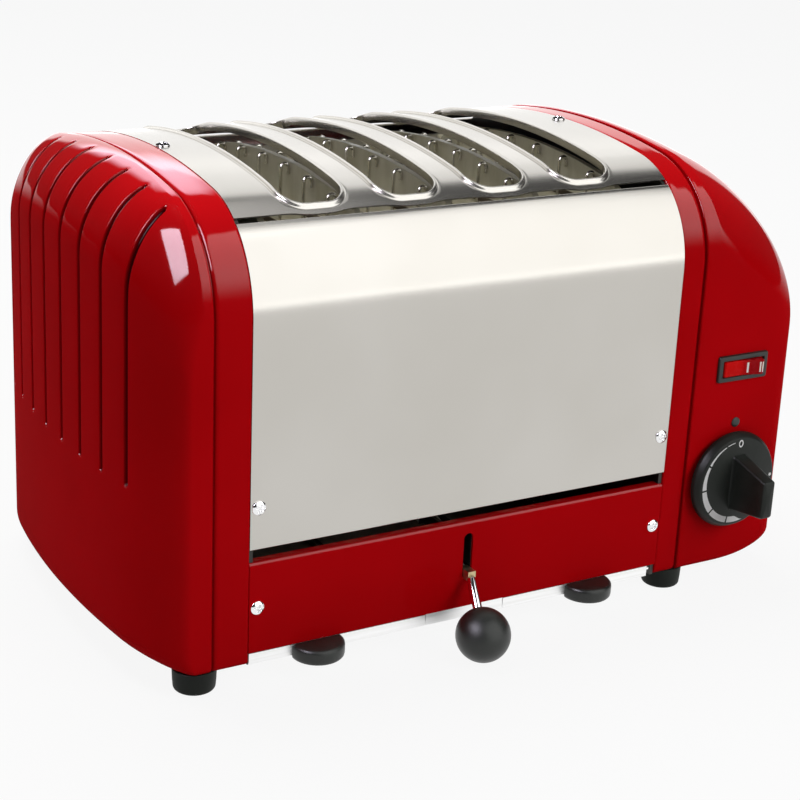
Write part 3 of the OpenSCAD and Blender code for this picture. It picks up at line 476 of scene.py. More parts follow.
def dome_reach(form, y, z):
    """Distance of a dome from the middle plane: a bowed, drafted face, brought back towards the band by three
    falls multiplied together: a curve over the top, a round at the upright corners, a round at the bottom."""
    up, aside = z - shoulder_z, np.abs(y) - shoulder_y
    angle = np.arctan2(up, aside)
    on_side = up <= 0
    on_shoulder = ~on_side & (aside > 0) & (angle < shoulder_turn)
    deep = np.where(on_side, dome_face - np.abs(y),
                    np.where(on_shoulder, SHOULDER_R + DOME_PROUD - np.hypot(up, aside),
                             CROWN_R + DOME_PROUD - np.hypot(y, z - crown_z)))
    share = np.where(on_side, 1.0, np.where(on_shoulder, np.cos(angle), np.abs(y) / CROWN_R))
    start = form.edge + form.band + NECK_W + LIP
    span = HALF_LEN - form.bow - start
    face = HALF_LEN - form.bow * (y / HALF_DEPTH) ** 2 - (z - BASE_Z - BOTTOM_ROLL) * END_DRAFT
    top = HEIGHT + DOME_PROUD
    over = crown_height(np.minimum(np.abs(y), dome_face), -DOME_PROUD)
    climb = np.clip((z + CURVE_FOLLOW * (top - over) - top + form.curve_h) / form.curve_h, 0, 1)
    curve = (1 - climb ** form.full) ** (1 / form.full)
    corner = 1 - form.roll_deep / span * share * fall(1 - deep / form.roll)
    foot = 1 - form.bottom / span * fall(1 - (z - BASE_Z) / BOTTOM_ROLL)
    return start + (face - start) * curve * corner * foot


def dome_columns():
    """Places between front and rear: even angles on the shoulders, even steps between, crowded at the vents."""
    shoulder = shoulder_y + (SHOULDER_R + DOME_PROUD) * np.cos(np.linspace(0, shoulder_turn, 34))
    plain = np.concatenate([-shoulder, np.linspace(-shoulder[-1], shoulder[-1], 44), shoulder])
    far = np.abs(plain[:, None] - vent_y).min(axis=1)
    wall = np.array([0.4, 0.75, 0.95, 1.12, 1.29, 1.46, 1.63, 1.85, 2.3, 3.0, 4.0])
    vents = (vent_y[:, None] + np.concatenate([-wall, [0.0], wall])).ravel()
    return np.unique(np.round(np.concatenate([plain[far > 4.6], vents]), 6))


def dome_rows():
    """First fixed heights up to the vents' lower ends, then shares of what is left, crowded at the top."""
    low = BASE_Z + BOTTOM_ROLL * (1 - np.cos(np.linspace(0, np.pi / 2, 16)))
    middle = [26, 34, 45, 56, 67, 78, 86]
    ends = VENT_LOW + np.linspace(-2.0, 3.0, 13)
    return np.concatenate([low, middle, ends]), np.sin(np.linspace(0, np.pi / 2, 72))[1:]


def outline_way(points):
    """The direction straight out of the body's outline at points on it: sideways, or from the arc's centre."""
    up, out = points[:, 2] - shoulder_z, np.abs(points[:, 1]) - shoulder_y
    way = surface(np.sign(points[:, 1]) * out, up)
    crown = (np.arctan2(up, out) > shoulder_turn) & (up > 0)
    way = np.where(crown[:, None], surface(points[:, 1], points[:, 2] - crown_z), way)
    way = np.where((up <= 1e-6)[:, None], surface(np.sign(points[:, 1]), 0 * up), way)
    return way / np.linalg.norm(way, axis=-1, keepdims=True)


def dome_skin(form):
    """The dome in (distance from the middle plane, y, z, painted shade): its reach over the columns and rows,
    tucked in along the bottom edge, then pushed in along the normal by each vent and the shallow dish round it. A
    vent's cut also sets how much painted shade its hollow gets."""
    fixed, shares = dome_rows()
    column = dome_columns()
    top = crown_height(column, -DOME_PROUD)
    top[[0, -1]] = shoulder_z
    upper = fixed[-1] + (top - fixed[-1]) * shares[:, None]
    z = np.vstack([fixed[:, None] + 0 * column, upper])
    y = column + 0 * z
    reach = dome_reach(form, y, z)
    tuck = fall((BASE_Z + EDGE_R - z) / EDGE_R)
    dome = surface(reach, y * (1 - EDGE_R / dome_face * tuck), z)
    normal = np.cross(np.gradient(dome, axis=1), np.gradient(dome, axis=0))
    normal /= np.maximum(np.linalg.norm(normal, axis=-1, keepdims=True), 1e-9)
    normal *= np.sign(normal[FACE_ROW, len(column) // 2, 0])
    aside = np.abs(y[..., None] - vent_y).min(axis=-1)
    past_low = np.maximum(0, VENT_LOW + VENT_W / 2 - z)
    past_top = np.maximum(0, form.edge + form.band + form.vent_end + VENT_W / 2 - reach)
    away = np.sqrt(aside ** 2 + past_low ** 2 + past_top ** 2)
    cut = np.clip((VENT_W / 2 + VENT_EDGE - away) / VENT_SOFT, 0, 1)
    cut = cut * cut * (3 - 2 * cut)
    deep = VENT_DEEP * cut + DISH_DEEP * np.exp(-(away / DISH_W) ** 2)
    # a vent's cut is also its painted shade
    return np.dstack([dome - normal * deep[..., None], cut])


def band_skin(form, dome):
    """From the dome's rim to the steel: a short lip, then three profiles. Each of their points shifts the rim
    along the length and straight in from the body's outline."""
    rim = np.concatenate([dome[:, 0], dome[-1, 1:], dome[-2::-1, -1]])[:, :3]
    way = outline_way(rim)
    band_end = form.edge + form.band
    step = band_end + NECK_W
    turns = np.concatenate([np.add(part, (at, 0, 0)) for part, at in
                            ((DOME_EDGE, step), (BAND_EDGE, band_end), (STEEL_EDGE, form.edge))])
    share = np.linspace(0, 1, 6)[None, :]
    flat = rim[:, :1] * (1 - share) + (step + LIP) * share
    # the third number of each profile is the painted shade in the fine groove
    band_x, shift, groove_shade = (np.hstack([first, np.repeat(turns[None, :, i], len(rim), axis=0)])
                           for i, first in enumerate((flat, 0 * flat, 0 * flat)))
    return surface(band_x, rim[:, 1:2] + way[:, :1] * shift, rim[:, 2:3] + way[:, 1:] * shift, groove_shade)


def bottom_lip(form, dome, band):
    """The casting's bottom: its whole lower edge, carried inwards to a smaller outline in two steps."""
    outer = np.concatenate([band[0, ::-1], dome[0, 1:-1], band[-1]])[:, :3]
    sides, lip_out = len(band[0]), form.edge + form.band + LIP_REACH
    inner = outer.copy()
    inner[:, 0] = np.minimum(form.edge + (outer[:, 0] - form.edge) * LIP_FLARE, lip_out)
    inner[sides:-sides, 0] = lip_out
    inner[:, 1] = np.clip(outer[:, 1], -LIP_Y, LIP_Y)
    inner[sides:-sides, 1] = outer[sides:-sides, 1] * LIP_Y / np.abs(outer[sides:-sides, 1]).max()
    share = np.array([0, 0.5, 1])[:, None, None]
    lip = outer * (1 - share) + inner * share
    return np.dstack([lip, np.zeros(lip.shape[:2])])


def casting(form, side):
    """The three skins of one casting, turned to the left or right end."""
    dome = dome_skin(form)
    band = band_skin(form, dome)
    return [skin * (side, 1.0, 1.0, 1.0) for skin in (dome, band, bottom_lip(form, dome, band))]


left_end = make_piece("left_end_dome", "left_end_casting", casting(LEFT_FORM, -1.0), "red_enamel",
                      wall=WALL, out=(-1.0, 0.0, 0.3))
right_end = make_piece("right_end_dome", "right_end_casting", casting(RIGHT_FORM, 1.0), "red_enamel",
                       wall=WALL, out=(1.0, 0.0, 0.3))

# %% [markdown]
# The front and rear panels are bent sheets. A sheet is a closed section, with rounded edges, carried along
# the length. Rolled sheet is never quite flat, so it wanders by less than a tenth of a millimetre on the way:
# that is what makes a steel reflection look like steel.

# %% Steel panels
PANEL_Z, PANEL_ANGLE, EDGE_GAP = 65.5, 50.5, 0.05
WAVE, WAVE_TOP, WAVE_FADE = 0.07, 200.0, 20.0


def panel_section():
    """Outside of the bent sheet upwards, its rounded top edge, the inside downwards, the rounded bottom edge."""
    centre = (shoulder_y, shoulder_z)
    half = SHEET / 2
    straight = np.linspace(PANEL_Z + half, shoulder_z, 24)
    outside = np.concatenate([surface(HALF_DEPTH, straight), arc(centre, SHOULDER_R, 0, PANEL_ANGLE, 26)[1:]])
    inside = np.concatenate([arc(centre, SHOULDER_R - SHEET, PANEL_ANGLE, 0, 26),
                             surface(HALF_DEPTH - SHEET, straight[::-1])[1:]])
    tip = arc((0, 0), SHOULDER_R - half, PANEL_ANGLE, PANEL_ANGLE, 1)[0] + centre
    top = arc(tip, half, PANEL_ANGLE, PANEL_ANGLE + 180, 8)[1:-1]
    low = arc((HALF_DEPTH - half, PANEL_Z + half), half, 180, 360, 8)[1:-1]
    return np.concatenate([outside, top, inside, low])


def panel(side):
    """The section carried along the length, pushed in and out by slow waves that die out at its edges."""
    x = np.linspace(STEEL_LEFT + EDGE_GAP, STEEL_RIGHT - EDGE_GAP, 75)[:, None]
    y, z = panel_section().T
    wave = np.sin(x / 31 + z / 47 + side) * np.sin(z / 23 + x / 90)
    y = y + WAVE * wave * np.clip((z - PANEL_Z) / WAVE_FADE, 0, 1) * np.clip((WAVE_TOP - z) / WAVE_FADE, 0, 1)
    return closed(surface(x, y * side, z))


front_steel = make_piece("front_steel_sheet", "front_panel", panel(-1.0), "polished_steel")
rear_steel = make_piece("rear_steel_sheet", "rear_panel", panel(1.0), "polished_steel")

# %% [markdown]
# The top plate has four slots with rolled rims. Round each slot the surface is a function of two
# parameters: how far round the slot, and how far out from it. Close to the slot that is the rolled bead;
# further out it runs to the border of the slot's own field, so the fields join edge to edge.

# %% Top plate
SLOT_PITCH, SLOT_W, SLOT_LEN, SLOT_CORNER = 46.5, 28.0, 160.0, 9.0
PLATE_EDGE, PLATE_WAVE, PLATE_WALL, FAR = 84.3, 1.2, 0.9, 1000.0
SIDE_N, END_N = 34, 7
rise_end = SLOT_LEN / 2 - SLOT_CORNER
slot_x = (STEEL_LEFT + STEEL_RIGHT) / 2 - 1.5 + (np.arange(4) - 1.5) * SLOT_PITCH


def plate_edge(x):
    """Where the plate ends towards the front: a little further out at each slot than between them."""
    near = np.exp(-(np.abs(x[..., None] - slot_x).min(axis=-1) / 11.0) ** 4)
    return PLATE_EDGE + PLATE_WAVE * near


def slot_quarter():
    """A quarter of the slot's outline, its outward directions, and the points of the field's border to run to."""
    half_w, half_l, r = SLOT_W / 2, SLOT_LEN / 2, SLOT_CORNER
    field = SLOT_PITCH / 2
    rise = np.linspace(0, half_l - r, SIDE_N)
    turn = np.radians(np.linspace(0, 90, 13)[1:])
    end_x = np.linspace(half_w - r, 0, END_N + 1)[1:]
    bend = surface(half_w - r + r * np.cos(turn), half_l - r + r * np.sin(turn))
    share = np.degrees(turn) / 45
    to_x = np.where(share <= 1, field, half_w - r + (field - half_w + r) * (2 - share))
    to_y = np.where(share <= 1, half_l - r + (FAR - half_l + r) * share, FAR)
    loop = np.concatenate([surface(half_w, rise), bend, surface(end_x, half_l)])
    out = np.concatenate([surface(1.0, 0 * rise), surface(np.cos(turn), np.sin(turn)), surface(0 * end_x, 1.0)])
    target = np.concatenate([surface(field, rise), surface(to_x, to_y), surface(end_x, FAR)])
    return loop, out, target


def slot_loop(x):
    """The whole outline of the slot at x: the quarter, mirrored three times, with its directions and targets."""
    loop, out, target = slot_quarter()
    parts = []
    for sx, sy, back in ((1, 1, 1), (-1, 1, -1), (-1, -1, 1), (1, -1, -1)):
        sign = np.array([sx, sy])
        parts.append([(a * sign)[::back][:-1] for a in (loop, out, target)])
    loop, out, target = (np.concatenate([p[i] for p in parts]) for i in range(3))
    edge = plate_edge(x + target[:, 0])
    tall = np.abs(target[:, 1])
    past = (tall - rise_end) / (FAR - rise_end)
    target[:, 1] = np.sign(target[:, 1]) * np.where(past > 0, rise_end + (edge - rise_end) * past, tall)
    return loop + (x, 0), out, target + (x, 0)


BEAD_X, BEAD_Z, BEAD_R = 1.75, 0.4, 0.7
bead_turn = np.linspace(0, np.pi, 11)
RIM = np.concatenate([
    [(1.2, -3.0), (1.1, -1.6), (1.05, -0.4)],
    surface(BEAD_X - BEAD_R * np.cos(bead_turn), BEAD_Z + BEAD_R * np.sin(bead_turn)),
    [(2.47, 0.05), (2.6, -0.2), (2.85, -0.28), (3.15, -0.12), (3.5, 0.0)],
])


def slot_field(x):
    """Round the slot and outwards: the hanging flange, the rolled bead, a fine channel, then the plain plate."""
    loop, out, target = slot_loop(x)
    flat = loop[None] + RIM[:, 0, None, None] * out[None]
    rise = np.repeat(RIM[:, 1, None], len(loop), axis=1)
    share = np.linspace(0, 1, 7)[1:, None, None]
    plain = flat[-1][None] * (1 - share) + target[None] * share
    flat = np.concatenate([flat, plain])
    rise = np.concatenate([rise, np.zeros(plain.shape[:2])])
    return np.dstack([flat, crown_height(flat[..., 1], -rise)])


def border(field, pick):
    """The points of a field's left or right border, from front to rear."""
    outer = field[-1]
    line = outer[np.isclose(outer[:, 0], pick(outer[:, 0]))]
    return line[np.argsort(line[:, 1])]


def plate_strip(line, x_to):
    """The plain plate beside the first or last slot, from the field's border to the casting."""
    x = np.linspace(line[0, 0], x_to, 8)[:, None]
    edge, tall = plate_edge(x), np.abs(line[:, 1])
    past = np.clip((tall - rise_end) / (tall.max() - rise_end), 0, None)
    y = np.sign(line[:, 1]) * np.where(past > 0, rise_end + (edge - rise_end) * past, tall)
    return surface(x, y, crown_height(y))


fields = [slot_field(x) for x in slot_x]
plate = [ring(f) for f in fields]
plate += [plate_strip(border(fields[0], np.min), STEEL_LEFT + EDGE_GAP),
          plate_strip(border(fields[-1], np.max), STEEL_RIGHT - EDGE_GAP)]
top_steel = make_piece("top_steel_sheet", "top_plate", plate, "polished_steel", wall=PLATE_WALL,
                       out=(0.0, 0.0, 1.0))

# %% [markdown]
# The base rails are red sheets with a bent top flange. The front one has the lever's slot: round it the
# same two-parameter field is used as round the toast slots.

# %% Base rails
RAIL_Z, RAIL_TOP, RAIL_BEND, RAIL_FLANGE, RAIL_GAP = 16.5, 59.5, 1.6, 5.0, 0.1
LEVER_X = (STEEL_LEFT + STEEL_RIGHT) / 2
LEVER_SLOT_W, LEVER_SLOT_Z, LEVER_SLOT_H = 5.0, 30.6, 23.0


def rail_bend():
    """The rail's top in side view: the bend, then the flange running inwards."""
    bend = arc((HALF_DEPTH - RAIL_BEND, RAIL_TOP - RAIL_BEND), RAIL_BEND, 0, 90, 9)
    return np.concatenate([bend, [(HALF_DEPTH - 3.0, RAIL_TOP), (HALF_DEPTH - RAIL_FLANGE, RAIL_TOP)]])


def rail_strip(x, z, side):
    """A piece of rail between given places along it, from given heights up over the bend."""
    y, tall = np.concatenate([surface(HALF_DEPTH, z), rail_bend()]).T
    return surface(x[:, None], y * side, tall)


def rail_face(x, z):
    """The flat face of the front rail between given places along it and given heights."""
    return surface(x[:, None], -HALF_DEPTH, z)


def front_rail():
    """Round the lever's slot and outwards to a small field; plain strips fill in the rest of the rail."""
    r = LEVER_SLOT_W / 2
    middle = LEVER_SLOT_Z + LEVER_SLOT_H / 2
    turn = np.radians(np.linspace(0, 360, 48, endpoint=False))
    straight = LEVER_SLOT_H / 2 - r
    loop = surface(r * np.cos(turn), np.sign(np.sin(turn)) * straight + r * np.sin(turn))
    half_x, half_z = 9.0, 15.0
    big = np.maximum(np.abs(np.cos(turn)), np.abs(np.sin(turn)))
    target = surface(half_x * np.cos(turn) / big, half_z * np.sin(turn) / big)
    share = np.linspace(0, 1, 6)[:, None, None]
    flat = loop[None] * (1 - share) + target[None] * share
    field = surface(flat[..., 0] + LEVER_X, -HALF_DEPTH, flat[..., 1] + middle)
    z_side = np.sort(target[np.isclose(target[:, 0], half_x), 1]) + middle
    x_end = np.sort(target[np.isclose(target[:, 1], half_z), 0]) + LEVER_X
    corner_x, corner_z = LEVER_X + np.array([-half_x, half_x]), middle + np.array([-half_z, half_z])
    z_side = np.unique(np.concatenate([z_side, corner_z]))
    x_end = np.unique(np.concatenate([x_end, corner_x]))
    rows = np.concatenate([[RAIL_Z, RAIL_Z + 3], z_side])
    left = np.linspace(STEEL_LEFT + RAIL_GAP, corner_x[0], 14)
    right = np.linspace(corner_x[1], STEEL_RIGHT - RAIL_GAP, 14)
    return [ring(field), rail_strip(left, rows, -1.0), rail_strip(right, rows, -1.0),
            rail_face(x_end, np.array([RAIL_Z, RAIL_Z + 3, corner_z[0]])),
            rail_strip(x_end, np.array([corner_z[1]]), -1.0)]


make_piece("front_rail_sheet", "front_base_rail", front_rail(), "red_enamel",
           wall=SHEET, out=(0.0, -1.0, 0.1))
rear_rows = np.linspace(RAIL_Z, RAIL_TOP - RAIL_BEND - 1, 8)
rear_x = np.linspace(STEEL_LEFT + RAIL_GAP, STEEL_RIGHT - RAIL_GAP, 30)
make_piece("rear_rail_sheet", "rear_base_rail", [rail_strip(rear_x, rear_rows, 1.0)], "red_enamel",
           wall=SHEET, out=(0.0, 1.0, 0.1))

# %% [markdown]
# Feet and screws are turned shapes: a profile carried round an axis. A screw's cross recess is pressed
# into its domed head, so the points of the head that lie in the cross are pushed down.

# %% Feet
FOOT_R = 10.0
foot_profile = np.concatenate([[(0.0, 0.0)], arc((FOOT_R - 2.3, 1.8), 1.8, -90, -5, 7),
                               [(FOOT_R - 0.25, 5.0), (FOOT_R - 0.05, BASE_Z - 0.3), (FOOT_R - 0.3, BASE_Z),
                                (0.0, BASE_Z)]])
for name in ("foot_front_left", "foot_front_right", "foot_rear_left", "foot_rear_right"):
    foot = turned(foot_profile, box_middle(name) * (1, 1, 0), (0, 0, 1))
    make_piece(name.replace("foot_", "rubber_foot_"), name, foot, "black_rubber")

# %% Screws
SCREW_R, SCREW_H, DOME_R = 3.3, 1.6, 3.45
RECESS_W, RECESS_LEN, RECESS_DEEP = 0.62, 2.0, 0.95


def screw(centre, axis, spin):
    """A domed head with a washer edge and a cross recess, turned by an angle about its axis."""
    radius = np.concatenate([[0.0], np.linspace(0.25, 2.4, 14), [2.7, 3.0, 3.2, SCREW_R, SCREW_R, SCREW_R - 0.05]])
    height = SCREW_H * np.sqrt(np.clip(1 - (radius / DOME_R) ** 2, 0.03, 1))
    height[-2:] = [0.25, 0.0]
    grid = lathe(np.stack([radius, height], axis=1), (0, 0, 0), (0, 0, 1), 56)
    x = grid[..., 0] * math.cos(spin) + grid[..., 1] * math.sin(spin)
    y = grid[..., 1] * math.cos(spin) - grid[..., 0] * math.sin(spin)
    across, along = np.minimum(np.abs(x), np.abs(y)), np.maximum(np.abs(x), np.abs(y))
    press = np.clip((RECESS_W - across) / 0.25, 0, 1) * np.clip((RECESS_LEN - along) / 0.5, 0, 1)
    grid[..., 2] = grid[..., 2] - RECESS_DEEP * press
    axis, first, second = cross_axes(axis)
    return ring(grid @ np.stack([first, second, axis]) + np.asarray(centre, float))


screw_x = (STEEL_LEFT + 4.0, STEEL_RIGHT - 4.0)
heads = [screw((x, side * HALF_DEPTH, z), (0, side, 0), 0.4 + i + 1.7 * j + side)
         for i, x in enumerate(screw_x) for j, z in enumerate((85.0, 38.0)) for side in (-1, 1)]
make_piece("panel_screw_heads", "panel_screws", heads, "bright_chrome", crease=50)
heads = [screw((x, 0, HEIGHT), (0, 0, 1), 0.3 + x) for x in screw_x]
make_piece("top_screw_heads", "top_screws", heads, "bright_chrome", crease=50)

# %% [markdown]
# The lever's ball is turned too: a sphere with a short flat neck where the chrome rod goes in.

# %% Lever
BALL_R, ROD_R = 12.8, 2.2
ball = np.array([LEVER_X - 4.3, -HALF_DEPTH - 23.3, 13.2])
rod_start = np.array([LEVER_X, -HALF_DEPTH - 4.0, 32.6])
rod_way = (rod_start - ball) / np.linalg.norm(rod_start - ball)
neck = 4.0
neck_height = math.sqrt(BALL_R ** 2 - neck ** 2)
neck_turn = math.degrees(math.asin(neck_height / BALL_R))
ball_profile = np.concatenate([arc((0, 0), BALL_R, -90, neck_turn - 1, 60),
                               [(neck - 0.15, neck_height + 0.02), (ROD_R + 0.3, neck_height - 0.1),
                                (ROD_R - 0.1, neck_height - 0.6), (0.0, neck_height - 0.6)]])
ball_profile[0, 0] = 0.0
make_piece("lever_grip_ball", "lever_ball", turned(ball_profile, ball, rod_way, 96), "black_plastic", "lever")
rod_length = np.linalg.norm(rod_start - ball)
rod_profile = [(0.0, 8.0), (ROD_R, 8.0), (ROD_R, rod_length - 0.6), (ROD_R - 0.2, rod_length - 0.15),
               (ROD_R - 0.6, rod_length), (0.0, rod_length)]
make_piece("lever_chrome_rod", "lever_rod", turned(rod_profile, ball, rod_way, 48), "bright_chrome", "lever")

# %% [markdown]
# Several moulded pieces are lofts: loops of points, one above another. A loop here is a rectangle with
# round corners whose half sizes, corner and height change from loop to loop.


# %% Lofted mouldings
def rounded_rectangle(half_u, half_v, corner, count=9):
    """Points round a rectangle with round corners, in its own plane, starting at the right-hand side."""
    corner = min(corner, half_u, half_v)
    parts = [arc((su * (half_u - corner), sv * (half_v - corner)), corner, start, start + 90, count)
             for su, sv, start in ((1, 1, 0), (-1, 1, 90), (-1, -1, 180), (1, -1, 270))]
    return np.concatenate(parts)


def moulding(loops, origin):
    """Carries loops out to the front, with a lid at each end. A row gives a loop's half sizes, corner, height and
    two shifts."""
    flat = [rounded_rectangle(hu, hv, c) + (su, sv) for hu, hv, c, h, su, sv in loops]
    rings = np.stack([np.column_stack([loop, np.full(len(loop), row[3])]) for loop, row in zip(flat, loops)])
    axes = np.array([(1.0, 0.0, 0.0), (0.0, 0.0, 1.0), (0.0, -1.0, 0.0)])
    return closed(rings @ axes + origin)


print("a loop has", len(rounded_rectangle(2.0, 1.0, 0.5)), "points")

# %% [markdown]
# The timer knob is a turned skirt with a wedge grip moulded on it. Its scale is printed: a white band that
# starts thin at the 0 and grows wider round the skirt, broken by fine marks. Print has no thickness, so
# it is drawn in the finish, from the angle and the distance to the knob's middle.

# %% Timer knob
KNOB = np.array([HALF_LEN - 42.5, -dome_face - 2.0, 57.0])
KNOB_R, SKIRT_H, GRIP_H = 25.0, 5.8, 23.5
# the print, in metres and shares of a turn
SCALE_R, SCALE_FROM, SCALE_TO = 0.0217, 0.028, 0.545
NOUGHT_Z, NOUGHT_R, NOUGHT_INK = 0.0203, 0.0016, 0.0004
DOT_X, DOT_Z, DOT_R = 0.0212, 0.0006, 0.00083666
shader, place = new_finish("knob_print", IOR=1.46, Specular_IOR_Level=0.18)
px, py, pz = place.parts()
across = px - float(KNOB[0] * MM)
tall = pz - float(KNOB[2] * MM)
away = distance(across, tall)
angle = tall.math("ARCTAN2", across * -1.0, tall)
turn = angle.math("FRACT", angle / (2 * math.pi) + 1.0)
wide = turn.ease(0.03, 0.36, 0.0004, 0.0031) * turn.ease(0.50, SCALE_TO, 1.0, 0.0)
band = (away < SCALE_R) * (away > SCALE_R - wide) * (turn > SCALE_FROM) * (turn < SCALE_TO)
marks = abs(angle.math("FRACT", turn * 10.0 + 0.35) - 0.5) < 0.465
nought = abs(distance(across * math.sqrt(2.0), tall - NOUGHT_Z) - NOUGHT_R) < NOUGHT_INK
dot = distance(across - DOT_X, tall - DOT_Z) < DOT_R
on_face = py < float((KNOB[1] + BODY_Y - SKIRT_H + 1.2) * MM)
near_face = py > float((KNOB[1] + BODY_Y - SKIRT_H - 0.3) * MM)
ink = (band * marks).most(nought).most(dot) * on_face * near_face
worn = place.noise(45.0, 3.0)
feed(shader,
     Base_Color=ink.blend(worn.shade(JET, WORN_JET), rgb(0.72, 0.72, 0.72)),
     Roughness=worn.drift(0.34, 0.46),
     Normal=place.noise(900.0, 2.0).bump(0.12, 0.0003))

skirt = [(0.0, 0.0), (KNOB_R - 0.6, 0.0), (KNOB_R, 0.6), (KNOB_R, 2.0), (KNOB_R - 0.2, 2.7),
         (KNOB_R - 0.7, 3.6), (KNOB_R - 1.5, SKIRT_H - 0.9), (KNOB_R - 1.9, SKIRT_H - 0.3),
         (KNOB_R - 2.5, SKIRT_H), (0.0, SKIRT_H)]
grip = [(4.9, 14.9, 2.6, SKIRT_H - 0.6, 0, 0), (4.2, 14.2, 1.8, SKIRT_H + 0.5, 0, 0)]
grip += [(4.0 - 0.35 * t, 14.0 - 4.2 * t, 1.5, SKIRT_H + 1.2 + (GRIP_H - 2.6) * t, 0, -1.2 * t)
         for t in np.linspace(0, 1, 6)]
grip += [(3.4, 9.5, 1.3, SKIRT_H + GRIP_H - 0.5, 0, -1.2), (2.7, 8.7, 0.9, SKIRT_H + GRIP_H, 0, -1.2)]
make_piece("timer_dial_knob", "timer_knob", turned(skirt, KNOB, (0, -1, 0), 120) + moulding(grip, KNOB),
           "black_plastic", "timer_dial", crease=35, finish="knob_print")
INDEX = (KNOB[0] + 1.5, -dome_face, KNOB[2] + 28.9)
plug = [(2.5, -0.2), (2.5, 0.35), (2.2, 0.65), (1.2, 0.8), (0.0, 0.8)]
make_piece("timer_index_plug", "timer_index", turned(plug, INDEX, (0, -1, 0), 40), "black_plastic")

# %% [markdown]
# The switch is a black frame round a red key that glows a little, because the plastic lets light through.
# The strokes on the key are printed, so they are drawn in its finish. The key's left side is painted a
# brighter red and its right side a darker one: painted light and shade.

# %% Switch
SWITCH = np.array([HALF_LEN - 41.0, -dome_face, 115.0])
frame_loops = [row + (0, 0) for row in (
    (15.25, 6.75, 1.2, -0.1), (15.25, 6.75, 1.2, 0.9), (14.9, 6.4, 1.1, 1.5), (14.3, 5.8, 0.9, 1.6),
    (12.9, 4.4, 0.6, 1.6), (12.75, 4.25, 0.5, 1.4), (12.75, 4.25, 0.5, -9.0))]
make_piece("switch_frame", "switch_housing", moulding(frame_loops, SWITCH), "black_plastic", crease=35)

shader, place = new_finish("rocker_red", IOR=1.49, Specular_IOR_Level=0.05, Subsurface_Weight=0.25,
                           Subsurface_Scale=0.003)
finishes["red_plastic"] = finishes["rocker_red"]
px, py, pz = place.parts()
side = px - float(SWITCH[0] * MM)
tall = pz - float(SWITCH[2] * MM)
STROKE_H, ONE_X, TWO_X = 0.0026, 0.0017, (0.0083, 0.0097)
two = (abs(side - TWO_X[0]) < 0.0004).most(abs(side - TWO_X[1]) < 0.0004)
stroke = (abs(side - ONE_X) < 0.0005).most(two) * (abs(tall) < STROKE_H)
# painted light and shade: a brighter red on the key's left side, a darker red on its right
lit = side.ease(-0.004, 0.004)
feed(shader,
     Base_Color=stroke.blend(lit.blend(rgb(0.62, 0.002, 0.002), rgb(0.34, 0.002, 0.005)), rgb(0.85, 0.8, 0.78)),
     Roughness=place.noise(300.0).drift(0.22, 0.3))


def rocker():
    """Two faces that meet in a shallow valley, carried up the key's height and rounded at both ends."""
    half_w, half_h, valley, tilt = 11.35, 3.9, 6.5, math.radians(-7.0)
    across = np.linspace(-half_w, half_w, 41)
    rise = valley - np.abs(across) * math.tan(tilt)
    shoulder = np.clip((np.abs(across) - half_w + 0.7) / 0.7, 0, 1)
    rise = rise - 0.5 * shoulder ** 2
    outline = np.concatenate([surface(across, -rise), [(half_w, 0.0), (0.0, 2.0), (-half_w, 0.0)]])
    spin = np.array([[math.cos(tilt), math.sin(tilt)], [-math.sin(tilt), math.cos(tilt)]])
    levels = [(-half_h, 0.93), (-half_h + 0.25, 0.98), (-half_h + 0.7, 1.0), (0, 1.0),
              (half_h - 0.7, 1.0), (half_h - 0.25, 0.98), (half_h, 0.93)]
    x, y = (outline @ spin).T
    height, scale = np.array(levels).T[..., None]
    key = surface(x * (0.5 + 0.5 * scale), y * scale, height)
    return closed(key + (SWITCH[0], -HALF_DEPTH + 4.0, SWITCH[2]))


make_piece("switch_red_key", "switch_rocker", rocker(), "red_plastic", "switch_key", crease=30)

# %% [markdown]
# The tray pulls are half-round mouldings with softened edges, one on each tray's front.

# %% Tray pulls
PULL_R, PULL_LOW, PULL_H = 12.5, 8.8, 7.4


def pull(x):
    """A half disc in plan, its edge rounded towards the top and bottom, flat against the tray's front."""
    turn = np.linspace(0, np.pi, 45)
    levels = [(0.0, 0.88), (0.35, 0.94), (1.0, 0.985), (2.0, 1.0), (PULL_H - 2.0, 1.0), (PULL_H - 1.0, 0.985),
              (PULL_H - 0.35, 0.94), (PULL_H, 0.88)]
    height, scale = np.array(levels).T[..., None]
    return closed(surface(x + PULL_R * scale * np.cos(turn), -HALF_DEPTH - PULL_R * scale * np.sin(turn),
                          PULL_LOW + height))


for name, body in (("tray_pull_left", "tray_left"), ("tray_pull_right", "tray_right")):
    make_piece(name.replace("tray_pull", "pull_grip"), name, pull(box_middle(name)[0]), "black_plastic", body)

# %% [markdown]
# The gland at the rear is where a mains lead would go in. It is a turned collar with a rounded mouth.

# %% Gland
GLAND_Z = 38.0
gland = (box_middle("cord_gland")[0], HALF_DEPTH, GLAND_Z)
gland_profile = np.concatenate([[(4.5, -7.0), (9.0, -7.0), (9.0, 0.0), (12.0, 0.0), (12.0, 2.2), (11.6, 2.8)],
                                [(9.6, 3.0), (9.2, 3.4), (8.6, 6.4)], arc((7.0, 6.4), 1.6, 0, 90, 6)[1:],
                                [(5.4, 8.0), (4.8, 7.7), (4.5, 7.0), (4.5, -7.0)]])
make_piece("cord_inlet_gland", "cord_gland", turned(gland_profile, gland, (0, 1, 0)), "black_plastic")

# %% [markdown]
# The solids whose shape is right already stay as they are. Each gets the finish of its material slot. The
# chassis walls and the lever's bracket get a near-black one instead, as painted shade, because the gap under the
# steel looks dark.

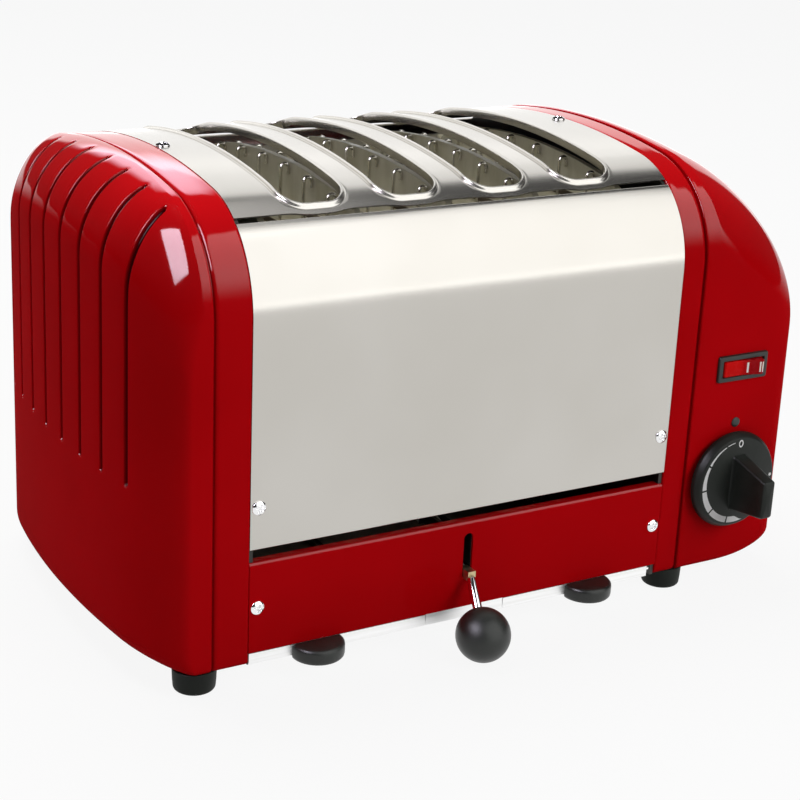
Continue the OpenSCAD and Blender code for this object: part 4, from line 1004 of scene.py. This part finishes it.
# %% Finishes on the solids that stay
# these solids get painted shade, a near-black steel
BEHIND_GAP = ("left_chassis_wall", "right_chassis_wall", "lever_bracket")
for row in frame["record"]["subparts"]:
    solid = frame["nodes"][row["node"]]
    solid.data.materials.clear()
    solid.data.materials.append(finishes["painted_shade_steel" if row["node"] in BEHIND_GAP else row["material_slot"]])

# %% [markdown]
# The stage: a pale floor under a white studio. Seen by the camera the floor and the air are white, and the
# floor keeps a soft shadow. In mirrors the air is dim, as in a real studio, where only cards and windows
# are bright, so each of these is a lamp of its own below.


# %% Floor and background
def light_path(tree):
    """One where a ray comes straight from the camera, and one where it comes by way of a mirror or glass."""
    node = tree.nodes.new("ShaderNodeLightPath")
    camera_ray, glossy, through = (Tone(tree, node.outputs[n]) for n in
                                   ("Is Camera Ray", "Is Glossy Ray", "Is Transmission Ray"))
    return camera_ray, glossy.most(through)


def show(shader, output):
    """Joins a finished shader to a new output node."""
    out = shader.tree.nodes.new(output)
    shader.tree.links.new(shader.socket, out.inputs["Surface"])


PAPER, FLOOR_SEEN = 0.48, 0.91
AIR_LIT, AIR_MIRRORED, AIR_SEEN = 0.24, 0.2, 0.96
floor_mesh = bpy.data.meshes.new("studio_floor")
floor_mesh.from_pydata([(-6, -6, 0), (6, -6, 0), (6, 6, 0), (-6, 6, 0)], [], [(0, 1, 2, 3)])
floor = bpy.data.objects.new("studio_floor", floor_mesh)
bpy.context.scene.collection.objects.link(floor)
floor_finish = bpy.data.materials.new("studio_floor")
floor_finish.use_nodes = True
tree = floor_finish.node_tree
tree.nodes.clear()
seen, mirrored = light_path(tree)
paper = seen.node("ShaderNodeBsdfDiffuse", {}, {"Color": rgb(PAPER, PAPER, PAPER)})
glow = seen.node("ShaderNodeEmission", {}, {"Color": rgb(1, 1, 1), "Strength": seen + mirrored})
mixed = seen.node("ShaderNodeMixShader", {}, {0: seen * FLOOR_SEEN + mirrored, 1: paper, 2: glow})
show(mixed, "ShaderNodeOutputMaterial")
floor_mesh.materials.append(floor_finish)

world = bpy.data.worlds.new("white_studio")
bpy.context.scene.world = world
world.use_nodes = True
tree = world.node_tree
tree.nodes.clear()
seen, mirrored = light_path(tree)
strength = (1 - seen) * (AIR_LIT - mirrored * AIR_MIRRORED) + seen * AIR_SEEN
air = seen.node("ShaderNodeBackground", {}, {"Color": rgb(1, 1, 1), "Strength": strength})
show(air, "ShaderNodeOutputWorld")
print("stage ready")


# %% [markdown]
# Lamps that give light and cards that only show in the gloss are set apart, so that each can have its own
# strength. A place is given as a bearing from the rear towards the right, a height angle and a distance. A
# card's face can fade towards its edges, as cloth in front of a lamp does, so its reflection ends softly. Some
# cards are shown to the steel alone or to the red ends alone by light linking, which no real lamp can do. It
# is a fit to the photograph's view.


# %% Lamps and cards
def shown_to(name, *pieces):
    """A group of pieces that a card is shown to."""
    group = bpy.data.collections.new(name)
    for piece in pieces:
        group.objects.link(piece)
    return group


the_ends = shown_to("the_ends", left_end, right_end)
the_steel = shown_to("the_steel", front_steel, rear_steel, top_steel)


AIM_Z = 0.15


def softbox(name, bearing, height, far, size, level, gloss, fade=0.0, roll=0.0, tint=(1.0, 1.0, 1.0),
            group=None):
    """A rectangular lamp in a direction from the body, turned to it; level is the brightness of its face."""
    lamp = bpy.data.lights.new(name, "AREA")
    lamp.shape, lamp.size, lamp.size_y = "RECTANGLE", size[0], size[1]
    lamp.energy, lamp.color = level * math.pi * size[0] * size[1], tint
    if fade:
        lamp.use_nodes = True
        face = next(n for n in lamp.node_tree.nodes if n.type == "EMISSION")
        u, v, _ = Tone(lamp.node_tree, None).node("ShaderNodeNewGeometry", output="Parametric").parts()
        inwards = u.least(1 - u).least(v.least(1 - v))
        feed(face, Strength=inwards.ease(0.0, fade))
    holder = bpy.data.objects.new(name, lamp)
    a, e = math.radians(bearing), math.radians(height)
    way = np.array([math.sin(a) * math.cos(e), math.cos(a) * math.cos(e), math.sin(e)])
    holder.location = way * far + (0.0, 0.0, AIM_Z)
    aimed = Euler((math.pi / 2 - e, 0.0, math.pi - a)).to_matrix()
    holder.rotation_euler = (aimed @ Matrix.Rotation(math.radians(roll), 3, "Z")).to_euler()
    holder.visible_diffuse, holder.visible_glossy = not gloss, gloss
    if group:
        holder.light_linking.receiver_collection = group
    bpy.context.scene.collection.objects.link(holder)
    print(f"{name}: {lamp.energy:.1f} W")


softbox("overhead_lamp", -10, 68, 1.8, (1.2, 1.0), 10.5, False)
softbox("front_lamp", 150, 30, 2.0, (1.2, 1.0), 4.3, False)
softbox("left_lamp", -80, 72, 1.8, (0.8, 0.8), 0.6, False)
softbox("rear_wall_card", 33, 11.5, 2.0, (2.36, 1.1), 1.2, True, fade=0.06)
softbox("rear_window_card", 14, 31, 2.0, (1.1, 1.1), 3.0, True, fade=0.3, tint=(0.88, 0.84, 1.0),
        group=the_ends)
softbox("window_card", -104, 38, 1.6, (0.62, 1.08), 15.0, True, fade=0.04, roll=42, tint=(0.9, 0.85, 1.0))
softbox("front_card", 157, 30, 2.0, (3.0, 3.4), 1.75, True, fade=0.05)
softbox("plate_card", 36, 38, 2.0, (2.3, 1.1), 1.2, True, fade=0.1, group=the_steel)
softbox("ceiling_card", 0, 88, 2.2, (2.2, 2.2), 0.8, True, fade=0.1, group=the_steel)
softbox("rear_fill_card", -28, 30, 2.0, (2.4, 3.2), 1.3, True, fade=0.05, group=the_steel)

# %% [markdown]
# Last, the look of the picture.

# %% View
bpy.context.scene.view_settings.view_transform = "Standard"
